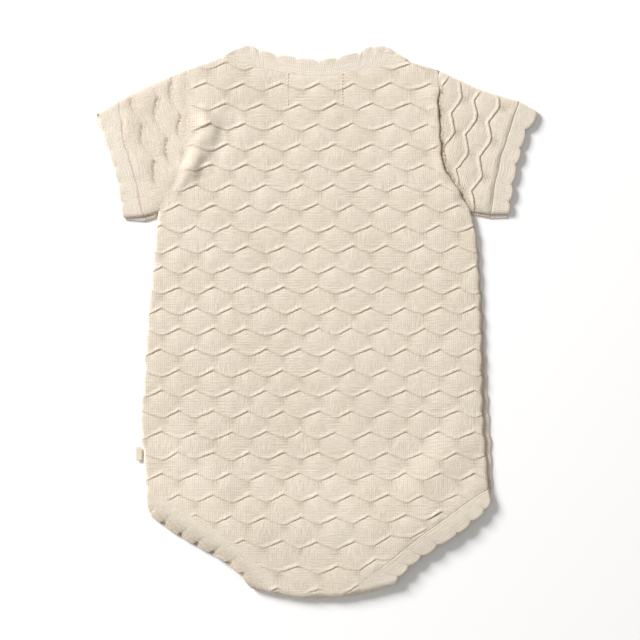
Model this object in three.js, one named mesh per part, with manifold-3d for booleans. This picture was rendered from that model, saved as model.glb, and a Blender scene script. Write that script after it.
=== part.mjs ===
// A short-sleeved baby bodysuit in fine knit, lying flat with its back upwards.
// Rows of small raised welts cross the knit in swags; neck, cuffs and legs end in scalloped bands.
// Millimetres. X runs across the garment, +Y towards the neck, +Z up from the surface it lies on.
// Welted and turned pieces are slabs lofted through sections and cut to their outlines in plan, and
// the plain ones are upright prisms on their outlines.

import * as THREE from "three";
import { mergeVertices } from "three/addons/utils/BufferGeometryUtils.js";
import Module from "manifold-3d";

const wasm = await Module();
wasm.setup();

// ---------------------------------------------------------------- driving sizes

const CLOTH = 1.6; // thickness of the knit wall
const GAP = 0.3; // between pieces that are sewn together or lie on each other
const UPPER = CLOTH + GAP; // underside of the layer that lies on another
const TWO_LAYERS = UPPER + CLOTH; // top of that layer
const SCALLOP = { pitch: 13.5, depth: 2.6, steps: 5 };
const LINE_STEP = 11; // between the points of a smooth outline
const LEAST_STEP = 1; // points nearer than this count as one
const WELD = 1e-3; // vertices nearer than this are joined
const BEYOND = 1; // how far a cutting shape runs past what it cuts
const CUTTER = { low: -5, high: 20 }; // heights that stand clear of the cloth below and above
const SLOT_REACH = 12; // how far the hollow of a flat tube runs past its open ends

// A welt hangs in swags between sharp peaks: its repeat across the cloth, its height over the plain
// cloth and where odd rows have a peak. Points that would fall past the crotch fold are kept apart.
const WELT = { repeat: 25.2, rise: 1.1, centre: 1.5, apart: 0.08 };
const SWAG = [0, -3.5, -4.9, -3.5]; // below the peak, at each quarter of the repeat
// Its section, from the neck side to the hem side.
const WELT_SECTION = [
  { along: 2.3, rise: 0 },
  { along: 0.6, rise: 1 },
  { along: -0.4, rise: 0.9 },
  { along: -0.9, rise: 0 },
];
const BODY_ROWS = { count: 26, first: 187.2, pitch: 14.6, growth: 0.012 };
const ROW_DROP = { from: 23, to: 25, most: 5 }; // the last rows are drawn down to the crotch
const ROW_BOW = { from: 18, to: 25, curve: 0.0013, most: 7 }; // low rows bow up towards the legs
const SLEEVE_ROWS = { count: 5, pitch: 16.2, toCuff: 13, columns: 23, before: 4, below: -8 };

// The crotch: the back turns under and its end lies on the front's, where press studs join them.
const TURNED = { end: -162, dropFrom: -182, dropTo: -188 };
const FRONT_END = -181;
const FOLD = { lowest: -200.4, middle: 2, reach: 60, bend: 310, outerSteps: 8, innerSteps: 4 };
const STUD = { y: -171.5, apart: 18, middle: -2, radius: 4.5, thick: 0.7, post: 1.6, sides: 16 };
const STUD_NAMES = ["stud_left", "stud_centre", "stud_right"];
const CROTCH_LOW = TWO_LAYERS + STUD.thick + 2 * GAP; // underside of the back above the studs
const BACK_END = FOLD.lowest - 6; // below the fold, where the back's outline closes
const LIFT = { from: -96, to: -154 }; // where the back climbs from the front to over the studs

// Soft folds that raise the cloth: the two ends of each in plan, its half width and its height.
const DRAPES = [
  { name: "drag fold by the left armhole", x1: -70, y1: 157, x2: -80, y2: 118, wide: 9, high: 2.2 },
  { name: "gather over the left underarm", x1: -86, y1: 128, x2: -93, y2: 106, wide: 7, high: 1.1 },
  { name: "puff above the left leg", x1: -96, y1: -92, x2: -70, y2: -118, wide: 12, high: 1.2 },
  { name: "puff above the right leg", x1: 100, y1: -92, x2: 74, y2: -120, wide: 12, high: 1.3 },
];
const SLAB = { left: -135, right: 135, top: 204, low: -180, stops: 20 };
const TAB = { top: -91, bottom: -100.6, reach: -130.6, low: 1.15, thick: 1.2 };

// ---------------------------------------------------------------- seams and edges in plan

const ARMHOLE = [
  { y: 182, left: -92, right: 88 },
  { y: 160, left: -93, right: 89 },
  { y: 132, left: -93.5, right: 89.5 },
  { y: 110, left: -97, right: 93.5 },
  { y: 95, left: -104.5, right: 102.6 },
  { y: 79.5, left: -114, right: 112 },
];
// The front rolls a little past the back along its right side: rightBack is the back's edge there.
const SIDE = [
  { y: 79.5, left: -114, right: 112, rightBack: 112 },
  { y: 62, left: -116.2, right: 116.2, rightBack: 115.8 },
  { y: 40, left: -118, right: 118.2, rightBack: 117.6 },
  { y: 0, left: -122, right: 121, rightBack: 119.4 },
  { y: -50, left: -125, right: 123.4, rightBack: 120.2 },
  { y: -72, left: -127, right: 124.8, rightBack: 120.9 },
  { y: -100, left: -124.4, right: 126.4, rightBack: 123.2 },
  { y: -122, left: -122.4, right: 127.2, rightBack: 124.6 },
];
const LEG_SEAM = {
  back: {
    left: [
      { x: -122.4, y: -122 },
      { x: -103, y: -133.6 },
      { x: -80, y: -148 },
      { x: -55.3, y: -163.8 },
      { x: -43, y: -175 },
      { x: -34, y: -187 },
    ],
    right: [
      { x: 124.6, y: -121 },
      { x: 110, y: -130 },
      { x: 94, y: -142 },
      { x: 75, y: -155.5 },
      { x: 46, y: -179 },
      { x: 33, y: -189 },
    ],
  },
  front: {
    left: [
      { x: -122.4, y: -122 },
      { x: -100, y: -131 },
      { x: -70, y: -143 },
      { x: -42, y: -158 },
      { x: -34, y: -170 },
    ],
    right: [
      { x: 127.2, y: -121 },
      { x: 102, y: -130 },
      { x: 72, y: -142 },
      { x: 42, y: -158 },
      { x: 33, y: -170 },
    ],
  },
};
const LEG_EDGE = {
  back: {
    left: [
      { x: -121, y: -138.5 },
      { x: -110.9, y: -146.1 },
      { x: -98.6, y: -154 },
      { x: -87.4, y: -160.5 },
      { x: -64.1, y: -174.4 },
      { x: -48, y: -187 },
    ],
    right: [
      { x: 127.4, y: -131 },
      { x: 112, y: -143.9 },
      { x: 101.8, y: -152 },
      { x: 87.4, y: -161.3 },
      { x: 66.9, y: -176.2 },
      { x: 57, y: -187 },
    ],
  },
  front: {
    left: [
      { x: -120, y: -137 },
      { x: -97, y: -145.5 },
      { x: -67, y: -157.5 },
      { x: -51, y: -168.5 },
      { x: -48, y: -177 },
    ],
    right: [
      { x: 125, y: -135 },
      { x: 100, y: -145 },
      { x: 71, y: -157.5 },
      { x: 59, y: -168.5 },
      { x: 57, y: -177 },
    ],
  },
};
const NECK_SEAM = {
  back: [
    { x: -65, y: 191.6 },
    { x: -41.5, y: 184.4 },
    { x: -22.5, y: 180.2 },
    { x: 0, y: 178 },
    { x: 21, y: 179.8 },
    { x: 42, y: 184.6 },
    { x: 65, y: 188.4 },
  ],
  front: [
    { x: -65, y: 191.6 },
    { x: -56, y: 170 },
    { x: -36, y: 150 },
    { x: 0, y: 141 },
    { x: 36, y: 150 },
    { x: 56, y: 170 },
    { x: 65, y: 188.4 },
  ],
};
const NECK_EDGE = {
  back: [
    { x: -66.4, y: 193 },
    { x: -57, y: 196.4 },
    { x: -48, y: 197.4 },
    { x: -41.3, y: 195.7 },
    { x: -29, y: 191.9 },
    { x: -14.1, y: 189.9 },
    { x: 1.5, y: 187.9 },
    { x: 15.7, y: 190.2 },
    { x: 31.2, y: 193.9 },
    { x: 42, y: 196.6 },
    { x: 51, y: 196.4 },
    { x: 58, y: 193.6 },
    { x: 66.6, y: 189.8 },
  ],
  front: [
    { x: -66.4, y: 193 },
    { x: -49, y: 182 },
    { x: -28, y: 161 },
    { x: 0, y: 153 },
    { x: 28, y: 161 },
    { x: 49, y: 182 },
    { x: 66.6, y: 189.8 },
  ],
};
// Sleeves, from the fold along the top to the underarm: the fold itself, the cuff seam, the cuff's edge.
const SLEEVE = {
  left: {
    fold: [
      { x: -92, y: 183.6 },
      { x: -113, y: 175 },
      { x: -142.8, y: 160.6 },
    ],
    cuffSeam: [
      { x: -142.8, y: 160.6 },
      { x: -139.6, y: 134.2 },
      { x: -131.5, y: 106 },
      { x: -124.7, y: 76 },
    ],
    cuffEdge: [
      { x: -158.8, y: 151.2 },
      { x: -150.5, y: 126 },
      { x: -145.6, y: 111 },
      { x: -142.4, y: 98.5 },
      { x: -140.3, y: 86 },
      { x: -139, y: 74.8 },
    ],
  },
  right: {
    fold: [
      { x: 88, y: 182 },
      { x: 103, y: 175 },
      { x: 119, y: 167.9 },
      { x: 147, y: 159.2 },
    ],
    cuffSeam: [
      { x: 147, y: 159.2 },
      { x: 138.8, y: 134 },
      { x: 131.8, y: 110 },
      { x: 126.4, y: 77.4 },
    ],
    cuffEdge: [
      { x: 158.6, y: 152.4 },
      { x: 151.5, y: 138.8 },
      { x: 147.6, y: 125.4 },
      { x: 144.3, y: 113.5 },
      { x: 141.4, y: 99.3 },
      { x: 139.4, y: 78 },
    ],
  },
};

const KNIT = { color: 0xe8dccb, roughness: 0.95, metalness: 0 };
const TAPE = { color: 0xefe6d6, roughness: 0.8, metalness: 0 };
const PLASTIC = { color: 0xe9e0cf, roughness: 0.4, metalness: 0 };

// ---------------------------------------------------------------- lines in plan

const SIDES = ["left", "right"];
// Which way is away from the body, seen along a line drawn downwards: 1 is to its right.
const OUTWARD = { left: 1, right: -1 };
const NECK_OUTWARD = -1;

/** A smooth curve through a table's points. */
function curveThrough(table) {
  return new THREE.SplineCurve(table.map(({ x, y }) => new THREE.Vector2(x, y)));
}

/** The points of a smooth line through a table's points. */
function smoothLine(table) {
  const curve = curveThrough(table);
  return curve.getSpacedPoints(Math.ceil(curve.getLength() / LINE_STEP));
}

/** The edge down one side, from a table that gives each side's place at a row of heights. */
function edgeDown(table, column) {
  return smoothLine(table.map((row) => ({ x: row[column], y: row.y })));
}

/** A line moved sideways: a positive distance moves it to the right of its own direction. */
function moved(line, distance) {
  return line.map((point, i) => {
    const before = line[Math.max(i - 1, 0)];
    const after = line[Math.min(i + 1, line.length - 1)];
    const run = after.clone().sub(before).normalize();
    return new THREE.Vector2(point.x + run.y * distance, point.y - run.x * distance);
  });
}

/** A line made longer, straight on, at both ends. */
function stretched(line, distance) {
  const beyond = (end, inner) => end.clone().add(end.clone().sub(inner).setLength(distance));
  return [beyond(line[0], line[1]), ...line, beyond(line.at(-1), line.at(-2))];
}

/** A scalloped edge on a smooth line: round tongues that stand out to its right where outward is 1. */
function scalloped(table, outward) {
  const curve = curveThrough(table);
  const tongues = Math.round(curve.getLength() / SCALLOP.pitch);
  const count = tongues * SCALLOP.steps;
  return Array.from({ length: count + 1 }, (_, i) => {
    const t = i / count;
    const swell = Math.sqrt(Math.abs(Math.sin(Math.PI * t * tongues)));
    const out = outward * SCALLOP.depth * swell;
    const run = curve.getTangentAt(t);
    const point = curve.getPointAt(t);
    return new THREE.Vector2(point.x + run.y * out, point.y - run.x * out);
  });
}

/** A leg seam from the side seam down, then straight on to a given height. */
function legSeam(layer, side, end) {
  const line = smoothLine(LEG_SEAM[layer][side]);
  return [...line, new THREE.Vector2(line.at(-1).x, end)];
}

/** The scalloped edge of a leg band from the side seam down, then straight on to a given height. */
function legEdge(layer, side, end) {
  const line = scalloped(LEG_EDGE[layer][side], OUTWARD[side]);
  return [...line, new THREE.Vector2(line.at(-1).x, end)];
}

// ---------------------------------------------------------------- solids

/** A closed geometry as a solid that can be cut and joined. */
function solidOf(geometry) {
  const bare = new THREE.BufferGeometry();
  bare.setAttribute("position", geometry.getAttribute("position"));
  bare.setIndex(geometry.index);
  const merged = mergeVertices(bare, WELD);
  return new wasm.Manifold(
    new wasm.Mesh({
      numProp: 3,
      vertProperties: merged.attributes.position.array,
      triVerts: new Uint32Array(merged.index.array),
    }),
  );
}

/** The shape inside a closed outline, without points that nearly coincide. */
function shapeOf(outline) {
  const kept = outline.filter((point, i) => point.distanceTo(outline.at(i - 1)) > LEAST_STEP);
  return new THREE.Shape(THREE.ShapeUtils.isClockWise(kept) ? kept.reverse() : kept);
}

/** The upright prism on a closed outline. */
function prism(outline, low = CUTTER.low, high = CUTTER.high) {
  const geometry = new THREE.ExtrudeGeometry(shapeOf(outline), { depth: high - low, bevelEnabled: false });
  return solidOf(geometry.translate(0, 0, low));
}

/** A slab lofted through sections, each a closed ring of [y, z] points, anticlockwise, at its own x. */
function loft(sections) {
  const size = sections[0].ring.length;
  const positions = sections.flatMap(({ x, ring }) => ring.flatMap(([y, z]) => [x, y, z]));
  const index = [];
  for (let s = 0; s + 1 < sections.length; s++) {
    for (let i = 0; i < size; i++) {
      const here = s * size + i;
      const next = s * size + ((i + 1) % size);
      index.push(here, next + size, here + size, here, next, next + size);
    }
  }
  const capOf = ({ ring }) => {
    return THREE.ShapeUtils.triangulateShape(
      ring.map(([y, z]) => new THREE.Vector2(y, z)),
      [],
    );
  };
  const last = (sections.length - 1) * size;
  for (const [a, b, c] of capOf(sections[0])) index.push(a, c, b);
  for (const [a, b, c] of capOf(sections.at(-1))) index.push(last + a, last + b, last + c);
  const geometry = new THREE.BufferGeometry();
  geometry.setAttribute("position", new THREE.Float32BufferAttribute(positions, 3));
  geometry.setIndex(index);
  return geometry;
}

/** The hollow between the two layers of a tube laid flat, which leaves both its ends open. */
function slot(upperSide, lowerSide) {
  const upper = stretched(upperSide, SLOT_REACH);
  const lower = stretched(lowerSide, SLOT_REACH);
  return prism([...upper, ...lower.reverse()], CLOTH, UPPER);
}

// ---------------------------------------------------------------- the welted knit

/** How far a welt hangs below its peaks at a column: alternate rows are half a repeat apart. */
function swag(column, row) {
  const quarters = column + 2 * (row + 1);
  return SWAG[THREE.MathUtils.euclideanModulo(quarters, SWAG.length)];
}

/** The y of the peaks of a row of welts on the body. */
function bodyRow(row, x) {
  const plain = BODY_ROWS.first - BODY_ROWS.pitch * row - BODY_ROWS.growth * row ** 2;
  const drop = ROW_DROP.most * THREE.MathUtils.smoothstep(row, ROW_DROP.from, ROW_DROP.to);
  const curve = ROW_BOW.curve * THREE.MathUtils.smoothstep(row, ROW_BOW.from, ROW_BOW.to);
  return plain - drop + Math.min(curve * (x - FOLD.middle) ** 2, ROW_BOW.most);
}

/** One column of welts, from the top down: [y, height above the plain cloth], all above a lowest y. */
function weltColumn(column, rows, rowHeight, lowest) {
  const total = rows * WELT_SECTION.length;
  return Array.from({ length: rows }, (_, row) => {
    const crest = rowHeight(row) + swag(column, row);
    return WELT_SECTION.map(({ along, rise }) => [crest + along, rise * WELT.rise]);
  })
    .flat()
    .map(([y, rise], i) => {
      const floor = lowest + WELT.apart * (total - i);
      return y > floor ? [y, rise] : [floor, 0];
    });
}

/** How far the soft folds raise the cloth at a point. */
function drape(x, y) {
  return DRAPES.reduce((height, { x1, y1, x2, y2, wide, high }) => {
    const line = new THREE.Line3(new THREE.Vector3(x1, y1), new THREE.Vector3(x2, y2));
    const point = new THREE.Vector3(x, y);
    const away = line.closestPointToPoint(point, true, new THREE.Vector3()).distanceTo(point);
    return height + high * Math.exp(-((away / wide) ** 2));
  }, 0);
}

/** The underside of the back at a point: it lies on the front, and climbs over the studs. */
function backLow(x, y) {
  const climb = THREE.MathUtils.smoothstep(-y, -LIFT.from, -LIFT.to);
  return THREE.MathUtils.lerp(UPPER, CROTCH_LOW, climb) + drape(x, y);
}

/** The y of the crotch fold's lowest edge at a given x. */
function foldEdge(x) {
  const away = Math.min(Math.abs(x - FOLD.middle), FOLD.reach);
  return FOLD.lowest + away ** 2 / FOLD.bend;
}

/** The back's wall with its half turn at the crotch fold, wider than the pattern. */
function backCloth(welted) {
  const outer = (CROTCH_LOW + CLOTH) / 2;
  const step = welted ? WELT.repeat / SWAG.length : WELT.repeat;
  const firstColumn = Math.ceil((SLAB.left - WELT.centre) / step);
  const lastColumn = Math.floor((SLAB.right - WELT.centre) / step);
  const stops = Array.from({ length: SLAB.stops + 1 }, (_, i) => {
    return THREE.MathUtils.lerp(SLAB.top, SLAB.low, i / SLAB.stops);
  });
  const sections = [];
  for (let column = firstColumn; column <= lastColumn; column++) {
    const x = WELT.centre + column * step;
    const turn = foldEdge(x) + outer;
    const halfTurn = (radius, steps) => {
      return Array.from({ length: steps + 1 }, (_, i) => {
        const angle = Math.PI * (0.5 + i / steps);
        return [turn + radius * Math.cos(angle), outer + radius * Math.sin(angle)];
      });
    };
    const rows = weltColumn(column, BODY_ROWS.count, (row) => bodyRow(row, x), turn);
    const top = welted ? [[SLAB.top, 0], ...rows] : stops.map((y) => [y, 0]);
    const ring = [
      ...top.map(([y, rise]) => [y, backLow(x, y) + CLOTH + rise]),
      ...halfTurn(outer, FOLD.outerSteps),
      [turn + BEYOND, 0],
      [turn + BEYOND, CLOTH],
      ...halfTurn(outer - CLOTH, FOLD.innerSteps).reverse(),
      ...[...stops].reverse().map((y) => [y, backLow(x, y)]),
    ];
    sections.push({ x, ring });
  }
  return solidOf(loft(sections));
}

/** The back's turned-under end, from the fold to where it lies on the front, wider than the pattern. */
function turnedEnd() {
  const step = WELT.repeat / 2;
  const count = Math.floor(FOLD.reach / step);
  const sections = Array.from({ length: 2 * count + 1 }, (_, i) => {
    const x = FOLD.middle + (i - count) * step;
    const turn = foldEdge(x) + (CROTCH_LOW + CLOTH) / 2;
    const wall = [
      [TURNED.end, UPPER],
      [TURNED.dropFrom, UPPER],
      [TURNED.dropTo, 0],
      [turn, 0],
    ];
    const ring = [...wall.map(([y, low]) => [y, low + CLOTH]), ...[...wall].reverse()];
    return { x, ring };
  });
  return solidOf(loft(sections));
}

/** The welted cloth of a sleeve as one block, both layers thick, with its rows along the cuff seam. */
function sleeveCloth(side) {
  const [top, bottom] = [SLEEVE[side].cuffSeam[0], SLEEVE[side].cuffSeam.at(-1)];
  const start = side === "left" ? top : bottom;
  const end = side === "left" ? bottom : top;
  const along = Math.atan2(end.y - start.y, end.x - start.x);
  const farthest = SLEEVE_ROWS.toCuff + SLEEVE_ROWS.pitch * SLEEVE_ROWS.count;
  const nearest = [SLEEVE_ROWS.below, 0];
  const step = WELT.repeat / SWAG.length;
  const sections = Array.from({ length: SLEEVE_ROWS.columns }, (_, i) => {
    const rowHeight = (row) => farthest - SLEEVE_ROWS.pitch * (row + 1);
    const rows = weltColumn(i, SLEEVE_ROWS.count, rowHeight, SLEEVE_ROWS.below);
    const topLine = [[farthest, 0], ...rows, nearest].map(([y, rise]) => [y, TWO_LAYERS + rise]);
    return { x: (i - SLEEVE_ROWS.before) * step, ring: [...topLine, nearest, [farthest, 0]] };
  });
  return solidOf(loft(sections).rotateZ(along).translate(start.x, start.y, 0));
}

// ---------------------------------------------------------------- outlines of the pieces

/** One side of a body piece, from the shoulder down to its end at the crotch. */
function bodySide(layer, side, end) {
  const inward = (-OUTWARD[side] * GAP) / 2;
  const sideColumn = layer === "back" && side === "right" ? "rightBack" : side;
  return [
    ...moved(edgeDown(ARMHOLE, side), inward),
    ...edgeDown(SIDE, sideColumn),
    ...moved(legSeam(layer, side, end), inward),
  ];
}

/** The outline of the back or the front, without its bands. */
function bodyOutline(layer, end) {
  return [
    ...moved(smoothLine(NECK_SEAM[layer]), GAP / 2),
    ...bodySide(layer, "right", end),
    ...bodySide(layer, "left", end).reverse(),
  ];
}

/** The outline of the back or front half of the neckband. */
function neckbandOutline(layer) {
  const seam = moved(smoothLine(NECK_SEAM[layer]), -GAP / 2);
  return [...scalloped(NECK_EDGE[layer], NECK_OUTWARD), ...seam.reverse()];
}

/** The outline of the back or front half of a leg band. */
function legBandOutline(layer, side, end) {
  const seam = moved(legSeam(layer, side, end), (OUTWARD[side] * GAP) / 2);
  return [...legEdge(layer, side, end), ...seam.reverse()];
}

/** A strip of the turned-under end between two of its lengthwise lines. */
function turnedStrip(x1, x2) {
  const top = TURNED.end + BEYOND;
  const bottom = FOLD.lowest - BEYOND;
  return prism([
    new THREE.Vector2(x1, top),
    new THREE.Vector2(x2, top),
    new THREE.Vector2(x2, bottom),
    new THREE.Vector2(x1, bottom),
  ]);
}

// ---------------------------------------------------------------- pieces

/** A solid as a named mesh. */
function mesh(name, solid, finish) {
  const made = solid.getMesh();
  const geometry = new THREE.BufferGeometry();
  geometry.setAttribute("position", new THREE.BufferAttribute(new Float32Array(made.vertProperties), 3));
  geometry.setIndex(new THREE.BufferAttribute(new Uint32Array(made.triVerts), 1));
  geometry.computeVertexNormals();
  const result = new THREE.Mesh(geometry, new THREE.MeshStandardMaterial(finish));
  result.name = name;
  return result;
}

/** Where the three studs stand. */
function studPlaces() {
  return STUD_NAMES.map((name, i) => ({ name, x: STUD.middle + (i - 1) * STUD.apart, y: STUD.y }));
}

/** A closed press stud: a cap let into the front, a disc over the turned-under end, and its post. */
function studProfile(clear) {
  const cap = STUD.thick + clear;
  const disc = TWO_LAYERS + GAP;
  const radius = STUD.radius + clear;
  const post = STUD.post + clear;
  return [
    new THREE.Vector2(0, -clear),
    new THREE.Vector2(radius, -clear),
    new THREE.Vector2(radius, cap),
    new THREE.Vector2(post, cap),
    new THREE.Vector2(post, disc - clear),
    new THREE.Vector2(radius, disc - clear),
    new THREE.Vector2(radius, disc + cap),
    new THREE.Vector2(0, disc + cap),
  ];
}

/** A stud's solid, or the room that it takes in the cloth where clear is more than 0. */
function studSolid({ x, y }, clear = 0) {
  const geometry = new THREE.LatheGeometry(studProfile(clear), STUD.sides).rotateX(Math.PI / 2);
  return solidOf(geometry.translate(x, y, 0));
}

/** A body piece with room for the studs. */
function withStudRoom(solid) {
  return studPlaces().reduce((cloth, place) => cloth.subtract(studSolid(place, GAP)), solid);
}

const seamX = (side) => LEG_SEAM.back[side].at(-1).x;
const edgeX = (side) => LEG_EDGE.back[side].at(-1).x;
const turned = turnedEnd();

/** The back, with its half turn at the crotch and its turned-under end. */
function makeBack() {
  const upper = backCloth(true).intersect(prism(bodyOutline("back", BACK_END)));
  const strip = turned.intersect(turnedStrip(seamX("left") + GAP / 2, seamX("right") - GAP / 2));
  return mesh("back_body", withStudRoom(upper.add(strip)), KNIT);
}

/** The front, which lies under the back. */
function makeFront() {
  return mesh("front_body", withStudRoom(prism(bodyOutline("front", FRONT_END), 0, CLOTH)), KNIT);
}

/** The neckband: its back half on the upper layer and its front half under that. */
function makeNeckband() {
  return [
    mesh("neckband_back", prism(neckbandOutline("back"), UPPER, TWO_LAYERS), KNIT),
    mesh("neckband_front", prism(neckbandOutline("front"), 0, CLOTH), KNIT),
  ];
}

/** A leg band: its back half is cut from the given cloth and turns under with the back. */
function makeLegBand(side, cloth) {
  const toEdge = (-OUTWARD[side] * GAP) / 2;
  const upper = cloth.intersect(prism(legBandOutline("back", side, BACK_END)));
  const strip = turned.intersect(turnedStrip(edgeX(side), seamX(side) + toEdge));
  return [
    mesh(`leg_band_${side}_back`, upper.add(strip), KNIT),
    mesh(`leg_band_${side}_front`, prism(legBandOutline("front", side, FRONT_END), 0, CLOTH), KNIT),
  ];
}

/** A sleeve: the fold along its top, open at the armhole and the cuff. */
function makeSleeve(side) {
  const outward = (OUTWARD[side] * GAP) / 2;
  const armhole = moved(edgeDown(ARMHOLE, side), outward);
  const cuffSeam = moved(smoothLine(SLEEVE[side].cuffSeam), -outward);
  const fold = smoothLine(SLEEVE[side].fold);
  const underarm = [armhole.at(-1), cuffSeam.at(-1)];
  const outline = [...armhole, ...[...cuffSeam].reverse(), ...[...fold].reverse()];
  const block = sleeveCloth(side).intersect(prism(outline));
  const inset = OUTWARD[side] * CLOTH;
  const hollow = slot(moved(fold, -inset), moved(underarm, inset));
  return mesh(`sleeve_${side}`, block.subtract(hollow), KNIT);
}

/** A cuff band: a tube laid flat, open at the sleeve and along its scalloped edge. */
function makeCuff(side) {
  const seam = moved(smoothLine(SLEEVE[side].cuffSeam), (OUTWARD[side] * GAP) / 2);
  const edge = scalloped(SLEEVE[side].cuffEdge, OUTWARD[side]);
  const block = prism([...seam, ...[...edge].reverse()], 0, TWO_LAYERS);
  const inset = OUTWARD[side] * CLOTH;
  const hollow = slot(moved([seam[0], edge[0]], -inset), moved([seam.at(-1), edge.at(-1)], inset));
  return mesh(`cuff_${side}`, block.subtract(hollow), KNIT);
}

/** A small blank tab in the left side seam. */
function makeTab() {
  const outline = [
    new THREE.Vector2(TAB.reach, TAB.bottom),
    new THREE.Vector2(SIDE.at(-1).left, TAB.bottom),
    new THREE.Vector2(SIDE.at(-1).left, TAB.top),
    new THREE.Vector2(TAB.reach, TAB.top),
  ];
  const seam = moved(edgeDown(SIDE, "left"), GAP);
  const inside = prism([...seam, new THREE.Vector2(0, SIDE.at(-1).y), new THREE.Vector2(0, SIDE[0].y)]);
  const tape = prism(outline, TAB.low, TAB.low + TAB.thick);
  return mesh("side_tab", tape.subtract(inside), TAPE);
}

const garment = new THREE.Group();
const plainCloth = backCloth(false);
garment.add(makeBack(), makeFront(), ...makeNeckband(), makeTab());
for (const side of SIDES) garment.add(makeSleeve(side), makeCuff(side), ...makeLegBand(side, plainCloth));
for (const place of studPlaces()) garment.add(mesh(place.name, studSolid(place), PLASTIC));

export default garment;
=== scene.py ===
"""A short-sleeved baby bodysuit in fine cotton knit, lying flat with its back upwards.

Every cloth piece starts as a flat sheet in its own pattern sizes, in millimetres. The sheet is
trimmed to its outline, thickened to a wall and then laid: lifted over what lies below it, turned
under at the crotch and raised where welts, puffs and folds stand up. Lengths are in millimetres
until a mesh is finished, and then in metres.
"""
import logging
import math
from dataclasses import dataclass
from enum import Enum

import bmesh
import bpy
import numpy as np
from mathutils import Matrix, Quaternion, Vector


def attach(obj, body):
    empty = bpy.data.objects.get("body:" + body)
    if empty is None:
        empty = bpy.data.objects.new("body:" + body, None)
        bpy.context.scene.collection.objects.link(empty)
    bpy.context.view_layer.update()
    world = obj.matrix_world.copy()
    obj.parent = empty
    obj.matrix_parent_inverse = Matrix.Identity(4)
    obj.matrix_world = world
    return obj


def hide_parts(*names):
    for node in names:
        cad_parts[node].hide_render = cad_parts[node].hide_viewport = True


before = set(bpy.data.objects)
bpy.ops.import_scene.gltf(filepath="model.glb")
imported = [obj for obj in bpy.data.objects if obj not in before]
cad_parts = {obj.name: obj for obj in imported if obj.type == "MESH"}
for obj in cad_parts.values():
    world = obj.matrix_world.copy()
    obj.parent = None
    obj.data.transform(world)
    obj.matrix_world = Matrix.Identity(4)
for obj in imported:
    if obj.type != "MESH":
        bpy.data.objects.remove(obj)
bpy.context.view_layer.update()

log = logging.getLogger("bodysuit")

Table = tuple[tuple[float, float], ...]
Array = np.ndarray

# ------------------------------------------------------------------ sizes of the cloth, in mm

MM = 0.001  # one millimetre in metres
CLOTH = 1.6  # thickness of the knit wall
GAP = 0.3  # between pieces that lie on each other
SEAM = 0.02  # between pieces that are sewn together
UPPER = CLOTH + GAP  # underside of the layer that lies on another
STUD_THICK = 0.7
CROTCH_LOW = UPPER + CLOTH + STUD_THICK + 2 * GAP  # underside of the back above the press studs


class Side(Enum):
    """The two sides of the garment as it lies."""

    LEFT = "left"
    RIGHT = "right"

    @property
    def sign(self) -> int:
        """The direction of x away from the body."""
        return -1 if self is Side.LEFT else 1


class Layer(Enum):
    """The two layers of the garment: the back lies on the front."""

    BACK = "back"
    FRONT = "front"


# ------------------------------------------------------------------ seams and edges in plan

ARMHOLE: dict[Side, Table] = {
    Side.LEFT: ((-92, 182), (-93, 160), (-93.5, 132), (-97, 110), (-104.5, 95), (-114, 79.5)),
    Side.RIGHT: ((88, 182), (89, 160), (89.5, 132), (93.5, 110), (102.6, 95), (112, 79.5)),
}
SIDE_EDGE: dict[tuple[Layer, Side], Table] = {
    (Layer.BACK, Side.LEFT): (
        (-114, 79.5), (-116.2, 62), (-118, 40), (-122, 0),
        (-125, -50), (-127, -72), (-124.4, -100), (-122.4, -122),
    ),
    (Layer.BACK, Side.RIGHT): (
        (112, 79.5), (115.8, 62), (117.6, 40), (119.4, 0),
        (120.2, -50), (120.9, -72), (123.2, -100), (124.6, -122),
    ),
    (Layer.FRONT, Side.RIGHT): (
        (112, 79.5), (116.2, 62), (118.2, 40), (121, 0),
        (123.4, -50), (124.8, -72), (126.4, -100), (127.2, -122),
    ),
}
SIDE_EDGE[Layer.FRONT, Side.LEFT] = SIDE_EDGE[Layer.BACK, Side.LEFT]
LEG_SEAM: dict[tuple[Layer, Side], Table] = {
    (Layer.BACK, Side.LEFT): (
        (-122.4, -122), (-103, -133.6), (-80, -148), (-55.3, -163.8), (-43, -175), (-34, -187),
    ),
    (Layer.BACK, Side.RIGHT): (
        (124.6, -121), (110, -130), (94, -142), (75, -155.5), (46, -179), (33, -189),
    ),
    (Layer.FRONT, Side.LEFT): ((-122.4, -122), (-100, -131), (-70, -143), (-42, -158), (-34, -170)),
    (Layer.FRONT, Side.RIGHT): ((127.2, -121), (102, -130), (72, -142), (42, -158), (33, -170)),
}
NECK_SEAM: dict[Layer, Table] = {
    Layer.BACK: (
        (-65, 191.6), (-41.5, 184.4), (-22.5, 180.2), (0, 178), (21, 179.8), (42, 184.6), (65, 188.4),
    ),
    Layer.FRONT: ((-65, 191.6), (-56, 170), (-36, 150), (0, 141), (36, 150), (56, 170), (65, 188.4)),
}
SLEEVE_FOLD: dict[Side, Table] = {
    Side.LEFT: ((-92, 183.6), (-113, 175), (-142.8, 160.6)),
    Side.RIGHT: ((88, 182), (103, 175), (119, 167.9), (147, 159.2)),
}
CUFF_SEAM: dict[Side, Table] = {
    Side.LEFT: ((-142.8, 160.6), (-139.6, 134.2), (-131.5, 106), (-124.7, 76)),
    Side.RIGHT: ((147, 159.2), (138.8, 134), (131.8, 110), (126.4, 77.4)),
}
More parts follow.
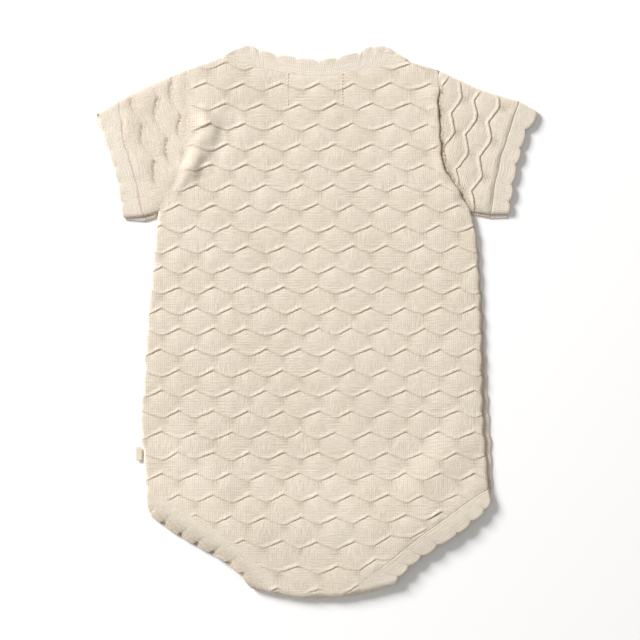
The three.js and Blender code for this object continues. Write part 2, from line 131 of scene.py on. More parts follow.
# Each scalloped edge is given by the notches between its tongues.
NECK_NOTCHES: dict[Layer, Table] = {
    Layer.BACK: (
        (-66.4, 192.6), (-57, 197.6), (-47.6, 200), (-41.3, 195.9), (-29, 191.9), (-14.1, 189.9),
        (1.5, 187.9), (15.7, 190.2), (31.2, 193.9), (34.2, 197.4), (41, 199), (50.6, 199),
        (57.1, 194.8), (66.6, 189.4),
    ),
    Layer.FRONT: (
        (-66.4, 192.6), (-57.6, 186.4), (-46, 178.6), (-34, 167), (-21.6, 158), (-7.2, 154),
        (7.2, 154), (21.6, 158), (34, 167), (46, 178.6), (57.6, 184.4), (66.6, 189.4),
    ),
}
CUFF_NOTCHES: dict[Side, Table] = {
    Side.LEFT: (
        (-158.8, 151.2), (-154.4, 137), (-149.4, 123), (-145.4, 110.9), (-142.2, 99.3),
        (-140.3, 85.6), (-138.6, 74.8),
    ),
    Side.RIGHT: (
        (159.2, 152.6), (151.5, 138.8), (147.6, 125.4), (144.3, 113.5), (141.4, 99.3),
        (139.6, 86.6), (138.8, 77.6),
    ),
}
LEG_NOTCHES: dict[tuple[Layer, Side], Table] = {
    (Layer.BACK, Side.LEFT): (
        (-122.4, -127), (-119.6, -138.8), (-110.9, -146.1), (-98.6, -154.4), (-87.4, -161),
        (-75.8, -167.1), (-64.1, -174.4), (-54.4, -182.3), (-48, -191),
    ),
    (Layer.BACK, Side.RIGHT): (
        (126.6, -128.6), (121.6, -136), (112, -143.9), (101.8, -152.6), (87.4, -161.3),
        (75.9, -169), (66.9, -176.2), (59.2, -184.2), (55.4, -192),
    ),
    (Layer.FRONT, Side.LEFT): (
        (-121, -130), (-114.5, -139.5), (-103, -143.5), (-90.5, -148), (-78, -153), (-66, -158),
        (-55, -165), (-48, -177),
    ),
    (Layer.FRONT, Side.RIGHT): (
        (126, -129), (118.5, -138.5), (106.5, -143), (94, -147.5), (82, -152.5), (70.5, -158),
        (61, -166), (57, -177),
    ),
}

# ------------------------------------------------------------------ lines and distances in plan

FIRST_SEED = 1000  # which the seeds of all ripples are added to
SEAM_STEPS = 12  # steps between two points of a seam's table
TINY = 1e-6  # a distance that counts as nothing


def smoothstep(value: Array, start: float, end: float) -> Array:
    """A soft step, as a share from 0 where a value is at the start to 1 where it is at the end."""
    share = np.clip((value - start) / (end - start), 0, 1)
    return share * share * (3 - 2 * share)


def smooth_line(table: Table, per_span: int = 6) -> Array:
    """A smooth curve through a table's points.

    Args:
        table: the points.
        per_span: steps between two points of the table.

    Returns:
        The curve's points, one a row.
    """
    points = np.array(table, float)
    padded = np.vstack([2 * points[0] - points[1], points, 2 * points[-1] - points[-2]])
    t = np.arange(per_span)[:, None] / per_span
    spans = []
    for a, b, c, d in zip(padded, padded[1:], padded[2:], padded[3:]):
        bend = (2 * a - 5 * b + 4 * c - d) * t**2 + (3 * b - a - 3 * c + d) * t**3
        spans.append(b + 0.5 * ((c - a) * t + bend))
    return np.vstack([*spans, points[-1]])


def moved(line: Array, distance: float | Array) -> Array:
    """A line moved sideways.

    Args:
        line: the points.
        distance: how far, to the right of the line's own direction, for all points or for each.

    Returns:
        The moved points.
    """
    run = np.gradient(line, axis=0)
    run /= np.linalg.norm(run, axis=1)[:, None]
    return line + np.reshape(distance, (-1, 1)) * np.column_stack([run[:, 1], -run[:, 0]])


def held_ends(share: Array, steepness: float) -> Array:
    """How freely a line strays: not at all at its two ends, and in full a short way in from them."""
    return np.minimum(1, steepness * np.minimum(share, 1 - share))


def seam_line(table: Table, wander: float = 0.0) -> Array:
    """A sewn seam, which wanders a little on its way but keeps to its ends.

    Args:
        table: the points of its smooth line.
        wander: how far it strays.

    Returns:
        The seam's points.
    """
    line = smooth_line(table, SEAM_STEPS)
    free = held_ends(np.linspace(0, 1, len(line)), 6)
    return moved(line, wander * free * SEAM_RIPPLE.at(*line.T))


def travelled(line: Array) -> Array:
    """How far along a line each of its points is."""
    return np.concatenate([[0], np.cumsum(np.linalg.norm(np.diff(line, axis=0), axis=1))])


def spaced(line: Array, shares: Array) -> Array:
    """Points on a line at given shares of its length, from 0 at its start to 1 at its end."""
    way = travelled(line)
    return np.column_stack([np.interp(shares, way / way[-1], line[:, i]) for i in (0, 1)])


def scalloped(
    notches: Table, outward: int, depths: tuple[float, ...], blunt: float, steps: int,
) -> Array:
    """A scalloped edge, whose tongues swell out between their notches.

    Args:
        notches: the points between the tongues.
        outward: 1 where the tongues stand to the right of the line, -1 to its left.
        depths: how far each tongue stands out.
        blunt: the power of the swell: round at 0.5, and nearly square lower down.
        steps: steps along a tongue.

    Returns:
        The edge's points.
    """
    line = smooth_line(notches, steps)
    share = np.arange(len(line)) / steps
    tongue = np.minimum(share.astype(int), len(depths) - 1)
    return moved(line, outward * np.array(depths)[tongue] * np.abs(np.sin(np.pi * share)) ** blunt)


def nearest(points: Array, line: Array) -> tuple[Array, Array]:
    """The nearest place on a line to each point.

    Args:
        points: the points.
        line: the line's points.

    Returns:
        The distances, and the nearest places.
    """
    best = np.full(len(points), np.inf)
    place = np.zeros((len(points), 2))
    for start, end in zip(line, line[1:]):
        run = end - start
        share = np.clip((points - start) @ run / max(run @ run, TINY**2), 0, 1)
        spot = start + share[:, None] * run
        away = np.linalg.norm(points - spot, axis=1)
        closer = away < best
        best[closer] = away[closer]
        place[closer] = spot[closer]
    return best, place


def depth_inside(points: Array, ring: Array) -> tuple[Array, Array]:
    """How deep each point lies inside a closed outline.

    Args:
        points: the points.
        ring: the outline's corners.

    Returns:
        The depths, negative outside, and the unit directions inwards.
    """
    closed = np.vstack([ring, ring[:1]])
    away, place = nearest(points, closed)
    within = np.zeros(len(points), bool)
    for (x1, y1), (x2, y2) in zip(closed, closed[1:]):
        crosses = (y1 > points[:, 1]) != (y2 > points[:, 1])
        if y1 != y2:
            within ^= crosses & (points[:, 0] < (x2 - x1) * (points[:, 1] - y1) / (y2 - y1) + x1)
    depth = np.where(within, away, -away)
    safe = np.where(np.abs(depth) < TINY, TINY, depth)
    return depth, (points - place) / safe[:, None]


@dataclass(frozen=True)
class Ripple:
    """A soft unevenness over the plane, from a few waves with seeded directions."""

    seed: int
    length: float
    waves: int = 7
    shortest: float = 0.6  # the shortest wave, in shares of the length
    spread: float = 0.9  # and how much longer the longest is

    def at(self, x: Array, y: Array) -> Array:
        """The unevenness at given places.

        Args:
            x: the places across.
            y: the places along.

        Returns:
            Values that mostly lie from -1 to 1.
        """
        rng = np.random.default_rng(FIRST_SEED + self.seed)
        total = np.zeros(np.broadcast(x, y).shape)
        for turn, phase, stretch in rng.random((self.waves, 3)):
            size = self.length * (self.shortest + self.spread * stretch)
            along = x * math.cos(turn * math.tau) + y * math.sin(turn * math.tau)
            total += np.sin(math.tau * (along / size + phase))
        return total / math.sqrt(self.waves)


SEAM_RIPPLE = Ripple(seed=500, length=15, waves=4)
CREASE_RIPPLE = Ripple(seed=80, length=9)
FOLD_RIPPLE = Ripple(seed=12, length=15)
LIFT_RIPPLE = Ripple(seed=90, length=95)

# ------------------------------------------------------------------ the welted knit

Section = tuple[tuple[float, float, float], ...]


@dataclass(frozen=True)
class Welts:
    """Rows of welts that hang in swags between sharp peaks, every second row half a repeat on."""

    rows: int
    first: float  # y of the first row
    pitch: float  # between rows, which grows by twice the growth from each to the next
    centre: float
    repeat: float = 25.2  # between the peaks of a row
    growth: float = 0.0
    seed: int = 1

    # The line of a row: how low its swags hang, and how far it strays over long and short lengths.
    swing: float = 5.3
    valley: float = 0.53  # the phase of a swag's lowest place
    fall_bend: float = 0.58  # how much of a swag's fall is curved, the rest being straight
    climb_bend: float = 0.22
    sway: tuple[float, float] = (0.45, 70)
    tremble: tuple[float, float] = (0.2, 7)
    drift: tuple[float, float] = (0.035, 55)  # how far its peaks stray, in repeats

    # Between two rows the repeat widens, the rows drop by a distance, and their left and right
    # ends bow up by the square of the distance from the centre.
    top_rows: tuple[float, float] = (-7, -1)
    top_spread: float = 0.0
    low_rows: tuple[float, float] = (22, 25)
    low_spread: float = 0.0
    drop_rows: tuple[float, float] = (21, 25)
    drop: float = 0.0
    bow_rows: tuple[float, float] = (21, 25)
    bow: tuple[float, float] = (0.0, 0.0)
    highest_bow: float = 9

    # The strength of a row: how uneven it is over long and short lengths, the least, how much
    # fainter it grows between two heights, and single places, each as x, y, reach and more strength.
    broad: tuple[float, float] = (0.22, 40)
    fine: tuple[float, float] = (0.3, 6)
    weakest: float = 0.3
    flatter: float = 0.0
    flatter_from: tuple[float, float] = (20, -120)
    tucks: tuple[tuple[float, float, float, float], ...] = ()

    # The roll's and the slit's share where a swag falls, and where it climbs; the slit's share also sets
    # how much shade is painted in it. Between the two is the turning, in repeats from the lowest place.
    fall: tuple[float, float] = (0.4, 0.62)
    climb: tuple[float, float] = (1.0, 1.0)
    turning: tuple[float, float] = (-0.14, 0.12)

    # The welt's section from the neck side to the hem side: place, share of the roll's rise and share of
    # the slit's depth, which also scales its painted shade.
    section: Section = (
        (3.7, 0, 0), (2.9, 0.07, 0), (2.35, 0.2, 0), (1.9, 0.38, 0), (1.45, 0.62, 0), (0.95, 0.86, 0),
        (0.4, 1, 0), (0.0, 0.88, 0), (-0.3, 0.55, 0.3), (-0.6, 0.22, 1), (-0.95, 0.06, 0.9),
        (-1.4, 0, 0.3), (-2.6, 0, 0),
    )
    rise: float = 1.3
    slit: float = 0.25  # depth of the slit under the roll
    plain_rows: int = 2  # rows of vertices between the lower end of one section and the next one
    gathered: float = 1.0  # how strongly the knit is drawn together below a valley
    gathers: tuple[float, float, float, float] = (-7, -1.6, -0.8, -0.2)  # where that starts and ends
    puff: float = 0.55  # of the cells between the rows
    puff_ends: float = 0.35  # share of the puff at a cell's ends

    def line(self, row: int, x: Array) -> Array:
        """The place along the cloth of a row's crest.

        Args:
            row: the row's number from the top.
            x: the places across.

        Returns:
            The crest's y for each x.
        """
        number = np.array(row)
        plain = self.first - self.pitch * row - self.growth * row**2
        drop = self.drop * smoothstep(number, *self.drop_rows)
        away = x - self.centre
        bend = np.where(away < 0, *self.bow) * smoothstep(number, *self.bow_rows)
        bow = np.minimum(bend * away**2, self.highest_bow)
        uneven = self.stray(self.sway, 7 * row, x) + self.stray(self.tremble, 90 + row, x)
        return plain - drop + bow + uneven - self.swing * self.swag(self.phase(row, x))

    def stray(self, size: tuple[float, float], seed: int, x: Array) -> Array:
        """An unevenness across the cloth, from how strong and how long it is and a seed."""
        return size[0] * Ripple(self.seed + seed, size[1]).at(x, 0 * x)

    def row_at(self, y: Array) -> Array:
        """The row's number, with its fraction, at each place along."""
        root = np.sqrt(self.pitch**2 + 4 * self.growth * (self.first - y))
        return (root - self.pitch) / (2 * self.growth)

    def swag(self, phase: Array) -> Array:
        """The shape of a swag: curved down from a peak, and nearly straight up to the next.

        Args:
            phase: the phases, a whole number at each peak.

        Returns:
            How low the swag hangs, from 0 to 1.
        """
        share = phase % 1
        falls = share < self.valley
        way = np.clip(np.where(falls, share / self.valley, (1 - share) / (1 - self.valley)), 0, 1)
        bend = np.where(falls, self.fall_bend, self.climb_bend)
        return (1 - bend) * way + bend * np.sin(way * np.pi / 2)

    def phase(self, row: int, x: Array) -> Array:
        """The place in the repeat, a whole number at each peak.

        Args:
            row: the row's number from the top.
            x: the places across.

        Returns:
            The phases.
        """
        top = self.top_spread * smoothstep(np.array(-row), *self.top_rows)
        low = self.low_spread * smoothstep(np.array(row), *self.low_rows)
        shift = 0.5 * ((row + 1) % 2)
        wide = self.repeat * (1 + top + low)
        return (x - self.centre) / wide + shift + self.stray(self.drift, 3 + 11 * row, x)

    def strength(self, x: Array, y: Array) -> Array:
        """How strong the welts are at each place.

        Args:
            x: the places across.
            y: the places along.

        Returns:
            The strengths, about 1.
        """
        total = 1 + sum(
            size * Ripple(self.seed + 50 + i, length).at(x, y)
            for i, (size, length) in enumerate((self.broad, self.fine))
        )
        total = np.maximum(total - self.flatter * smoothstep(y, *self.flatter_from), self.weakest)
        for middle_x, middle_y, reach, more in self.tucks:
            total += more * np.exp(-((x - middle_x) ** 2 + (y - middle_y) ** 2) / reach**2)
        return total

    def relief(self, x: Array, y: Array) -> tuple[Array, dict[str, Array]]:
        """The welts and the puffed cells between them.

        Args:
            x: the places across.
            y: the places along.

        Returns:
            The height over the plain cloth, and the marks that the finish reads, from 0 to 1: how
            gathered the cloth is, how much shade is painted in its slits, and where a roll is.
        """
        place, roll, cut = (np.array(column) for column in zip(*reversed(self.section)))
        height, gather, slit, rolled = np.zeros((4, len(x)))
        above = self.line(-1, x)
        strength = self.strength(x, y)
        start, full, fading, end = self.gathers
        for row in range(self.rows + 1):
            crest, phase = self.line(row, x), self.phase(row, x)
            over = y - crest
            if row < self.rows:
                climbing = smoothstep(phase % 1, *(self.valley + turn for turn in self.turning))
                lean, opening = (
                    falls + (climbs - falls) * climbing for falls, climbs in zip(self.fall, self.climb)
                )
                here = lean * np.interp(over, place, roll)
                height += self.rise * strength * here
                rolled = np.maximum(rolled, here)
                opened = opening * np.interp(over, place, cut)
                height -= self.slit * np.minimum(opened, 1)
                slit = np.maximum(slit, opened * strength)
                under = smoothstep(over, start, full) * smoothstep(over, end, fading)
                gather = np.maximum(gather, self.gathered * self.swag(phase) ** 5 * under)
            cell = over / np.maximum(above - crest, 1e-3)
            swell = np.where((cell > 0) & (cell < 1), np.sin(np.pi * np.clip(cell, 0, 1)), 0)
            middle = self.puff_ends + (1 - self.puff_ends) * np.sin(np.pi * phase) ** 2
            height += self.puff * strength * swell * middle
            above = crest
        return height, {"gather": gather, "slit": slit, "roll": rolled}

    def off_ground(self, relief: Array, distance: float) -> Array:
        """How far a layer that rests on its welts stays off the ground, at most by the distance."""
        return distance * (1 - np.clip(relief / self.rise, 0, 1))

    def grid_rows(self, x: Array) -> Array:
        """The places along of a sheet's rows of vertices, which follow the welts.

        Args:
            x: the places across.

        Returns:
            A row for each row of vertices, from the lowest up.
        """
        lines = []
        for row in range(-1, self.rows):
            lines += [self.line(row, x) + place for place, _, _ in self.section]
            after = self.line(row + 1, x) + self.section[0][0]
            parts = self.plain_rows + 1
            lines += [lines[-1] + (after - lines[-1]) * i / parts for i in range(1, parts)]
        return np.array(lines[::-1])


BODY_WELTS = Welts(
    rows=26, first=187.2, pitch=14.6, centre=1.5, growth=0.012, rise=0.37, turning=(-0.05, 0.32),
    flatter=0.2, top_spread=0.06, low_spread=0.17, drop=7.5, bow=(0.0011, 0.0036),
    tucks=(
        (84, -139, 7, 1.9), (83, 182, 5, -0.9), (-71, 186, 10, -0.6), (-74, 133, 15, 1.1),
        (-122, -20, 22, 0.4),
    ),
)
SLEEVE_WELTS: dict[Side, Welts] = {
    Side.LEFT: Welts(
        rows=5, first=70.8, pitch=14.2, centre=4.1, repeat=28.4, seed=301, swing=5.4, rise=0.05,
        fall=(1.0, 1.9), climb=(0.4, 0.3), slit=0.28, gathered=0.35, bow_rows=(-3, -2), bow=(0, 0.0013),
        section=(
            (3.7, 0, 0), (2.9, 0.07, 0), (2.3, 0.3, 0.04), (1.7, 0.6, 0.12), (1.2, 0.9, 0.28),
            (0.75, 1, 0.5), (0.35, 1, 0.8), (0.0, 0.8, 1), (-0.35, 0.5, 1), (-0.75, 0.2, 0.7),
            (-1.2, 0.06, 0.35), (-1.8, 0, 0.1), (-2.9, 0, 0),
        ),
    ),
    Side.RIGHT: Welts(
        rows=5, first=73.8, pitch=13.9, centre=0.3, repeat=25.6, seed=402, swing=5.4, rise=0.42,
        fall=(0.8, 0.7),
    ),
}
ARMHOLE_WANDER = {Side.LEFT: 0.3, Side.RIGHT: 0.7}
CUFF_WANDER = {Side.LEFT: 0.55, Side.RIGHT: 0.4}
SHOULDER, CROTCH = (178, 163), (-184, -170)  # where seams die out
# How far the lower layer shows under a sleeve: at the body, at the cuff seam and at the cuff's edge.
UNDERARM_SHOWS = {Side.LEFT: (4.6, 3.4, 0.9), Side.RIGHT: (2.2, 2.4, 2.2)}


def armhole(side: Side) -> Array:
    """An armhole's seam, from the shoulder down."""
    return seam_line(ARMHOLE[side], ARMHOLE_WANDER[side])


def cuff_seam(side: Side) -> Array:
    """A cuff's seam, from the sleeve's fold down."""
    return seam_line(CUFF_SEAM[side], CUFF_WANDER[side])


def straight_on(line: Array, end: float, steps: int) -> Array:
    """A line carried straight on along the cloth.

    Args:
        line: the line.
        end: the y to reach.
        steps: how many points the straight part has, with the line's own last one.

    Returns:
        The longer line.
    """
    return np.vstack([line, [(line[-1, 0], y) for y in np.linspace(line[-1, 1], end, steps)[1:]]])


# ------------------------------------------------------------------ how the cloth lies


@dataclass(frozen=True)
class Fold:
    """A soft ridge in the laid cloth, or a trough where it is lower than nothing."""

    line: Table
    wide: float
    high: float
    uneven: float = 0.0

    def at(self, x: Array, y: Array) -> Array:
        """How far the fold raises the cloth at each place."""
        away, _ = nearest(np.column_stack([x, y]), np.array(self.line, float))
        return self.high * (1 + self.uneven * FOLD_RIPPLE.at(x, y)) * np.exp(-((away / self.wide) ** 2))


FOLDS: tuple[Fold, ...] = (
    # The drag fold by the left armhole, its broad outer slope, on to the sleeve, and its inner trough.
    Fold(((-76, 150), (-80, 135), (-86, 121), (-91, 107)), 8, 1.25, 0.6),
    Fold(((-90, 152), (-94, 130), (-99, 112)), 13, 0.55),
    Fold(((-62, 151), (-67, 135), (-76, 117), (-84, 99)), 6, -0.85, 0.6),
    # Puckers across it, and gathers over the left underarm.
    Fold(((-82, 143), (-72, 139)), 2.6, 0.5),
    Fold(((-84, 127), (-73, 124)), 2.6, 0.6),
    Fold(((-88, 113), (-78, 110)), 2.4, 0.5),
    Fold(((-88, 126), (-96, 104)), 3, 0.5),
    Fold(((-84, 118), (-100, 96)), 2.6, 0.4),
    # Puffs above the legs.
    Fold(((-96, -92), (-70, -118)), 12, 1.2),
    Fold(((100, -92), (74, -120)), 12, 1.3),
    # The back puffs up along the right armhole, and a welt runs beside the right cuff's seam.
    Fold(((87, 164), (87.5, 132), (91.5, 109), (101, 92)), 4.5, 1.0, 0.3),
    Fold(((142.6, 153), (135.4, 132), (128.6, 109), (123.6, 82)), 1.9, 0.5),
)


@dataclass(frozen=True)
class Lay:
    """How the back lies: on the front, over the studs, and turned under at the crotch."""

    lift: tuple[float, float] = (-96, -154)  # it is lifted from the front up on to the studs
    loose: float = 0.35  # how high it lies off the front, on average
    lowest: float = -200.4  # of its crotch fold, in the fold's middle
    middle: float = 2
    reach: float = 60  # the fold rises up to here from its middle
    bend: float = 310
    under_end: tuple[float, float] = (-188, -182)  # between these the end that is turned under steps down

    @property
    def outer(self) -> float:
        """The outer radius of the half turn."""
        return (CROTCH_LOW + CLOTH) / 2

    def turn(self, x: Array) -> Array:
        """The y where the cloth starts to turn under, for each x."""
        away = np.minimum(np.abs(x - self.middle), self.reach)
        return self.lowest + away**2 / self.bend + self.outer

    def fade(self, y: Array) -> Array:
        """How much of the welts and curls is left beside the crotch fold, at each y."""
        return smoothstep(y, self.lowest + 2, self.lowest + 9)

    def off_front(self, x: Array, y: Array) -> Array:
        """How far the back's underside lies off the front at each place.

        Args:
            x: the places across.
            y: the places along.

        Returns:
            The distances.
        """
        climb = (CROTCH_LOW - UPPER) * smoothstep(-y, *(-end for end in self.lift))
        waves = self.loose * (1 + LIFT_RIPPLE.at(x, y))
        return climb + np.maximum(waves + sum(fold.at(x, y) for fold in FOLDS), 0)

    def place(self, x: Array, y: Array, share: Array, rise: Array) -> Array:
        """Lays points of the flat cloth.

        Args:
            x: the flat places across.
            y: the flat places along, which run on past the crotch fold.
            share: from 0 on the inner face of the wall to 1 on its outer face.
            rise: how far the outer face stands up there.

        Returns:
            The laid points, one a row.
        """
        height = share * CLOTH + rise
        turn = self.turn(x)
        inner = self.outer - CLOTH
        past = turn - y
        bent = np.clip(past / (inner + CLOTH / 2), 0, math.pi)
        under = np.maximum(past - math.pi * (inner + CLOTH / 2), 0)
        radius = inner + height
        laid_y = np.where(past < 0, y, turn - radius * np.sin(bent) + under)
        over = UPPER + self.off_front(x, y) + height
        laid_z = np.where(past < 0, over, self.outer + radius * np.cos(bent))
        end = UPPER * smoothstep(laid_y, *self.under_end)
        return np.column_stack([x, laid_y, np.where(under > 0, end + CLOTH - height, laid_z)])


LAY = Lay()

# ------------------------------------------------------------------ colours and nodes


def linear(code: str) -> tuple[float, float, float, float]:
    """An sRGB hex colour as linear light.

    Args:
        code: six hex digits.

    Returns:
        Red, green, blue and 1.
    """
    parts = [int(code[i:i + 2], 16) / 255 for i in (0, 2, 4)]
    return (*(p / 12.92 if p <= 0.04045 else ((p + 0.055) / 1.055) ** 2.4 for p in parts), 1)


def add(
    tree: bpy.types.NodeTree, kind: str, links: dict | None = None, **settings: str | bool,
) -> bpy.types.Node:
    """Adds a node with its settings and links.

    Args:
        tree: the material's node tree.
        kind: the node's type, without its ShaderNode prefix.
        links: for each input, a socket to link or a value to set.
        settings: the node's own settings.

    Returns:
        The node.
    """
    node = tree.nodes.new("ShaderNode" + kind)
    for key, value in settings.items():
        setattr(node, key, value)
    for key, value in (links or {}).items():
        if isinstance(value, bpy.types.NodeSocket):
            tree.links.new(value, node.inputs[key])
        else:
            node.inputs[key].default_value = value
    return node


def new_tree(name: str) -> tuple[bpy.types.Material, bpy.types.NodeTree]:
    """A material with an empty tree.

    Args:
        name: the material's name.

    Returns:
        The material and its tree.
    """
    material = bpy.data.materials.new(name)
    material.use_nodes = True
    material.node_tree.nodes.clear()
    return material, material.node_tree


@dataclass(frozen=True)
class CottonKnit:
    """Plain knitted cotton yarn: matt, softly lit at grazing angles, in columns of small V stitches."""

    name: str
    light: str = "f0e5d6"
    deep: str = "d8c8b1"
    shade: str = "86714f"  # painted shade deep in a slit
    sheen: str = "fff6ea"
    wale: float = 1.45  # between columns of stitches
    course: float = 1.15  # between rows of stitches
    depth: float = 0.22  # of the stitches
    pleat: float = 2.3  # between the pleats below a valley
    ribbed: float = 0.3  # how strongly the columns of stitches show
    slubs: float = 1.5  # how strongly the yarn's unevenness shows
    clouds: float = 0.4  # and that of the whole cloth
    pleated: float = 0.3  # and the pleats below a valley
    lumpy: float = 2.6  # how lumpy a roll is
    roughness: float = 0.92

    def make(self) -> bpy.types.Material:
        """Builds the material."""
        material, tree = new_tree(self.name)
        cloth = add(tree, "UVMap", uv_map="cloth").outputs[0]
        position = add(tree, "TexCoord").outputs["Object"]
        across, along, _ = add(tree, "SeparateXYZ", {0: cloth}).outputs

        def calc(operation: str, *values: float | bpy.types.NodeSocket) -> bpy.types.NodeSocket:
            """One step of arithmetic."""
            return add(tree, "Math", dict(enumerate(values)), operation=operation).outputs[0]

        def noise(by_x: float, by_y: float, detail: int = 2) -> bpy.types.NodeSocket:
            """An unevenness that follows the yarn, with so many lumps in a millimetre each way."""
            flat = add(tree, "Mapping", {0: cloth, 3: (by_x, by_y, 1)}).outputs[0]
            return add(tree, "TexNoise", {"Vector": flat, "Scale": 1, "Detail": detail}).outputs["Fac"]

        # The marks: how gathered the knit is, how much shade is painted in its slits and creases, and
        # where a roll is.
        gather, slit, roll = (
            add(tree, "Attribute", attribute_name=mark).outputs["Fac"]
            for mark in ("gather", "slit", "roll")
        )
        # Each stitch is a V: two slanting legs of yarn, which swell between the rows of stitches.
        column = calc("DIVIDE", across, self.wale)
        lean = calc("ABSOLUTE", calc("SUBTRACT", calc("FRACT", column), 0.5))
        legs = calc("ABSOLUTE", calc("SINE", calc("MULTIPLY", lean, math.tau)))
        rows = calc("ADD", calc("DIVIDE", along, self.course), calc("MULTIPLY", lean, 1.3))
        loops = calc("MULTIPLY_ADD", calc("SINE", calc("MULTIPLY", rows, math.tau)), 0.3, 0.7)
        stitch = calc("MULTIPLY", legs, loops)
        # Yarn is uneven along its length: streaks run a few stitches along the columns in some
        # places and along the rows in others.
        patch = calc("MULTIPLY_ADD", noise(0.05, 0.07, 0), 3, -1)
        patch = add(tree, "Clamp", {0: patch}).outputs[0]
        upright = calc("MULTIPLY", calc("SUBTRACT", noise(0.75, 0.16), 0.5), patch)
        level = calc("MULTIPLY", calc("SUBTRACT", noise(0.13, 0.8), 0.5), calc("SUBTRACT", 1, patch))
        grain = calc("SUBTRACT", noise(0.95, 0.95, 3), 0.5)
        slub = calc("ADD", calc("ADD", upright, level), calc("MULTIPLY", grain, 0.7))
        lumps = noise(0.62, 0.62)
        cloud, fuzz = (
            add(tree, "TexNoise", {"Vector": position, "Scale": scale, "Detail": 2}).outputs["Fac"]
            for scale in (28, 1500)
        )
        # The stitches stand up more where the knit is gathered, and the rolls are lumpy.
        raised = calc("MULTIPLY_ADD", gather, 1.2, 0.8)
        height = calc("MULTIPLY_ADD", stitch, raised, calc("MULTIPLY", fuzz, 0.5))
        height = calc("MULTIPLY_ADD", slub, 1.6, height)
        height = calc("MULTIPLY_ADD", calc("MULTIPLY", lumps, roll), self.lumpy, height)
        bump = add(tree, "Bump", {"Height": height, "Strength": 1, "Distance": self.depth * MM})
        # The stitches themselves are too fine to show, so their columns are drawn as soft ribs too:
        # painted light and shade across each column.
        ribs = calc("MULTIPLY_ADD", calc("COSINE", calc("MULTIPLY", column, math.tau)), 0.6, stitch)
        tone = calc("MULTIPLY_ADD", calc("SUBTRACT", ribs, 0.45), self.ribbed, 0.62)
        tone = calc("MULTIPLY_ADD", slub, self.slubs, tone)
        tone = calc("MULTIPLY_ADD", calc("SUBTRACT", cloud, 0.5), self.clouds, tone)
        # Below a valley the knit is drawn together in short pleats, a stitch or two wide, with painted
        # shade in the hollows between them.
        pleats = calc("SINE", calc("MULTIPLY", across, math.tau / self.pleat))
        pleats = calc("MULTIPLY_ADD", pleats, self.pleated, -self.pleated)
        tone = calc("MULTIPLY_ADD", gather, pleats, tone)
        # A slit or crease is too narrow for much light to reach, so its shade is painted into the colour,
        # and it opens unevenly.
        opening = calc("MULTIPLY", slit, calc("MAXIMUM", calc("MULTIPLY_ADD", lumps, 1, -0.24), 0.04))
        colour = linear(self.deep)
        for share, other, held in ((tone, self.light, False), (opening, self.shade, True)):
            mix = {0: share, 6: colour, 7: linear(other)}
            colour = add(tree, "Mix", mix, data_type="RGBA", clamp_factor=held).outputs[2]
        shader = add(tree, "BsdfPrincipled", {
            "Base Color": colour, "Normal": bump.outputs[0], "Roughness": self.roughness,
            "Sheen Weight": 0.25, "Sheen Roughness": 0.5, "Sheen Tint": linear(self.sheen),
            "Specular IOR Level": 0.2,
        })
        add(tree, "OutputMaterial", {"Surface": shader.outputs[0]})
        return material


WAVE_SCALE = 0.314  # of a wave texture that repeats once in a metre


@dataclass(frozen=True)
class Threads:
    """Cotton threads side by side, which cross where they run in more than one direction."""

    name: str
    light: str
    deep: str
    apart: float  # between threads
    runs: tuple[str, ...]
    uneven: float
    raised: float  # how far the threads stand up
    strength: float
    roughness: float

    def make(self) -> bpy.types.Material:
        """Builds the material."""
        material, tree = new_tree(self.name)
        position = add(tree, "TexCoord").outputs["Object"]
        wave = {"Vector": position, "Scale": WAVE_SCALE / (self.apart * MM), "Distortion": self.uneven}
        thread, *crossing = (
            add(tree, "TexWave", wave, bands_direction=run).outputs["Fac"] for run in self.runs
        )
        for other in crossing:
            thread = add(tree, "Math", {0: thread, 1: other}, operation="MULTIPLY").outputs[0]
        mix = {0: thread, 6: linear(self.deep), 7: linear(self.light)}
        bump = {"Height": thread, "Strength": self.strength, "Distance": self.raised * MM}
        shader = add(tree, "BsdfPrincipled", {
            "Base Color": add(tree, "Mix", mix, data_type="RGBA").outputs[2],
            "Normal": add(tree, "Bump", bump).outputs[0], "Roughness": self.roughness,
        })
        add(tree, "OutputMaterial", {"Surface": shader.outputs[0]})
        return material


# Twisted thread is a little smoother and shinier than the knit, with slanting plies. They are drawn
# coarser than real, so that they show.
SEWING_THREAD = Threads(
    "twisted cotton thread", "f4eadc", "cfbea5", apart=0.6, runs=("DIAGONAL",), uneven=0.6, raised=0.1,
    strength=0.6, roughness=0.7,
)
# Woven tape is flatter and tighter than knit, with a fine even grain.
WOVEN_TAPE = Threads(
    "woven cotton tape", "f1e7d8", "e0d3bf", apart=0.5, runs=("X", "Y"), uneven=0.4, raised=0.08,
    strength=0.5, roughness=0.8,
)


@dataclass(frozen=True)
class MouldedResin:
    """Moulded acetal resin of the press studs: satin, with the faint flow marks of the mould."""

    name: str = "moulded acetal resin"
    colour: str = "e9e0cf"
    roughness: tuple[float, float] = (0.35, 0.5)

    def make(self) -> bpy.types.Material:
        """Builds the material."""
        material, tree = new_tree(self.name)
        position = add(tree, "TexCoord").outputs["Object"]
        flow = add(tree, "TexNoise", {"Vector": position, "Scale": 700, "Detail": 3}).outputs["Fac"]
        rough = add(tree, "MapRange", {0: flow, 3: self.roughness[0], 4: self.roughness[1]}).outputs[0]
        bump = add(tree, "Bump", {"Height": flow, "Strength": 0.2, "Distance": 0.05 * MM})
        shader = add(tree, "BsdfPrincipled", {
            "Base Color": linear(self.colour), "Normal": bump.outputs[0], "Roughness": rough,
        })
        add(tree, "OutputMaterial", {"Surface": shader.outputs[0]})
        return material


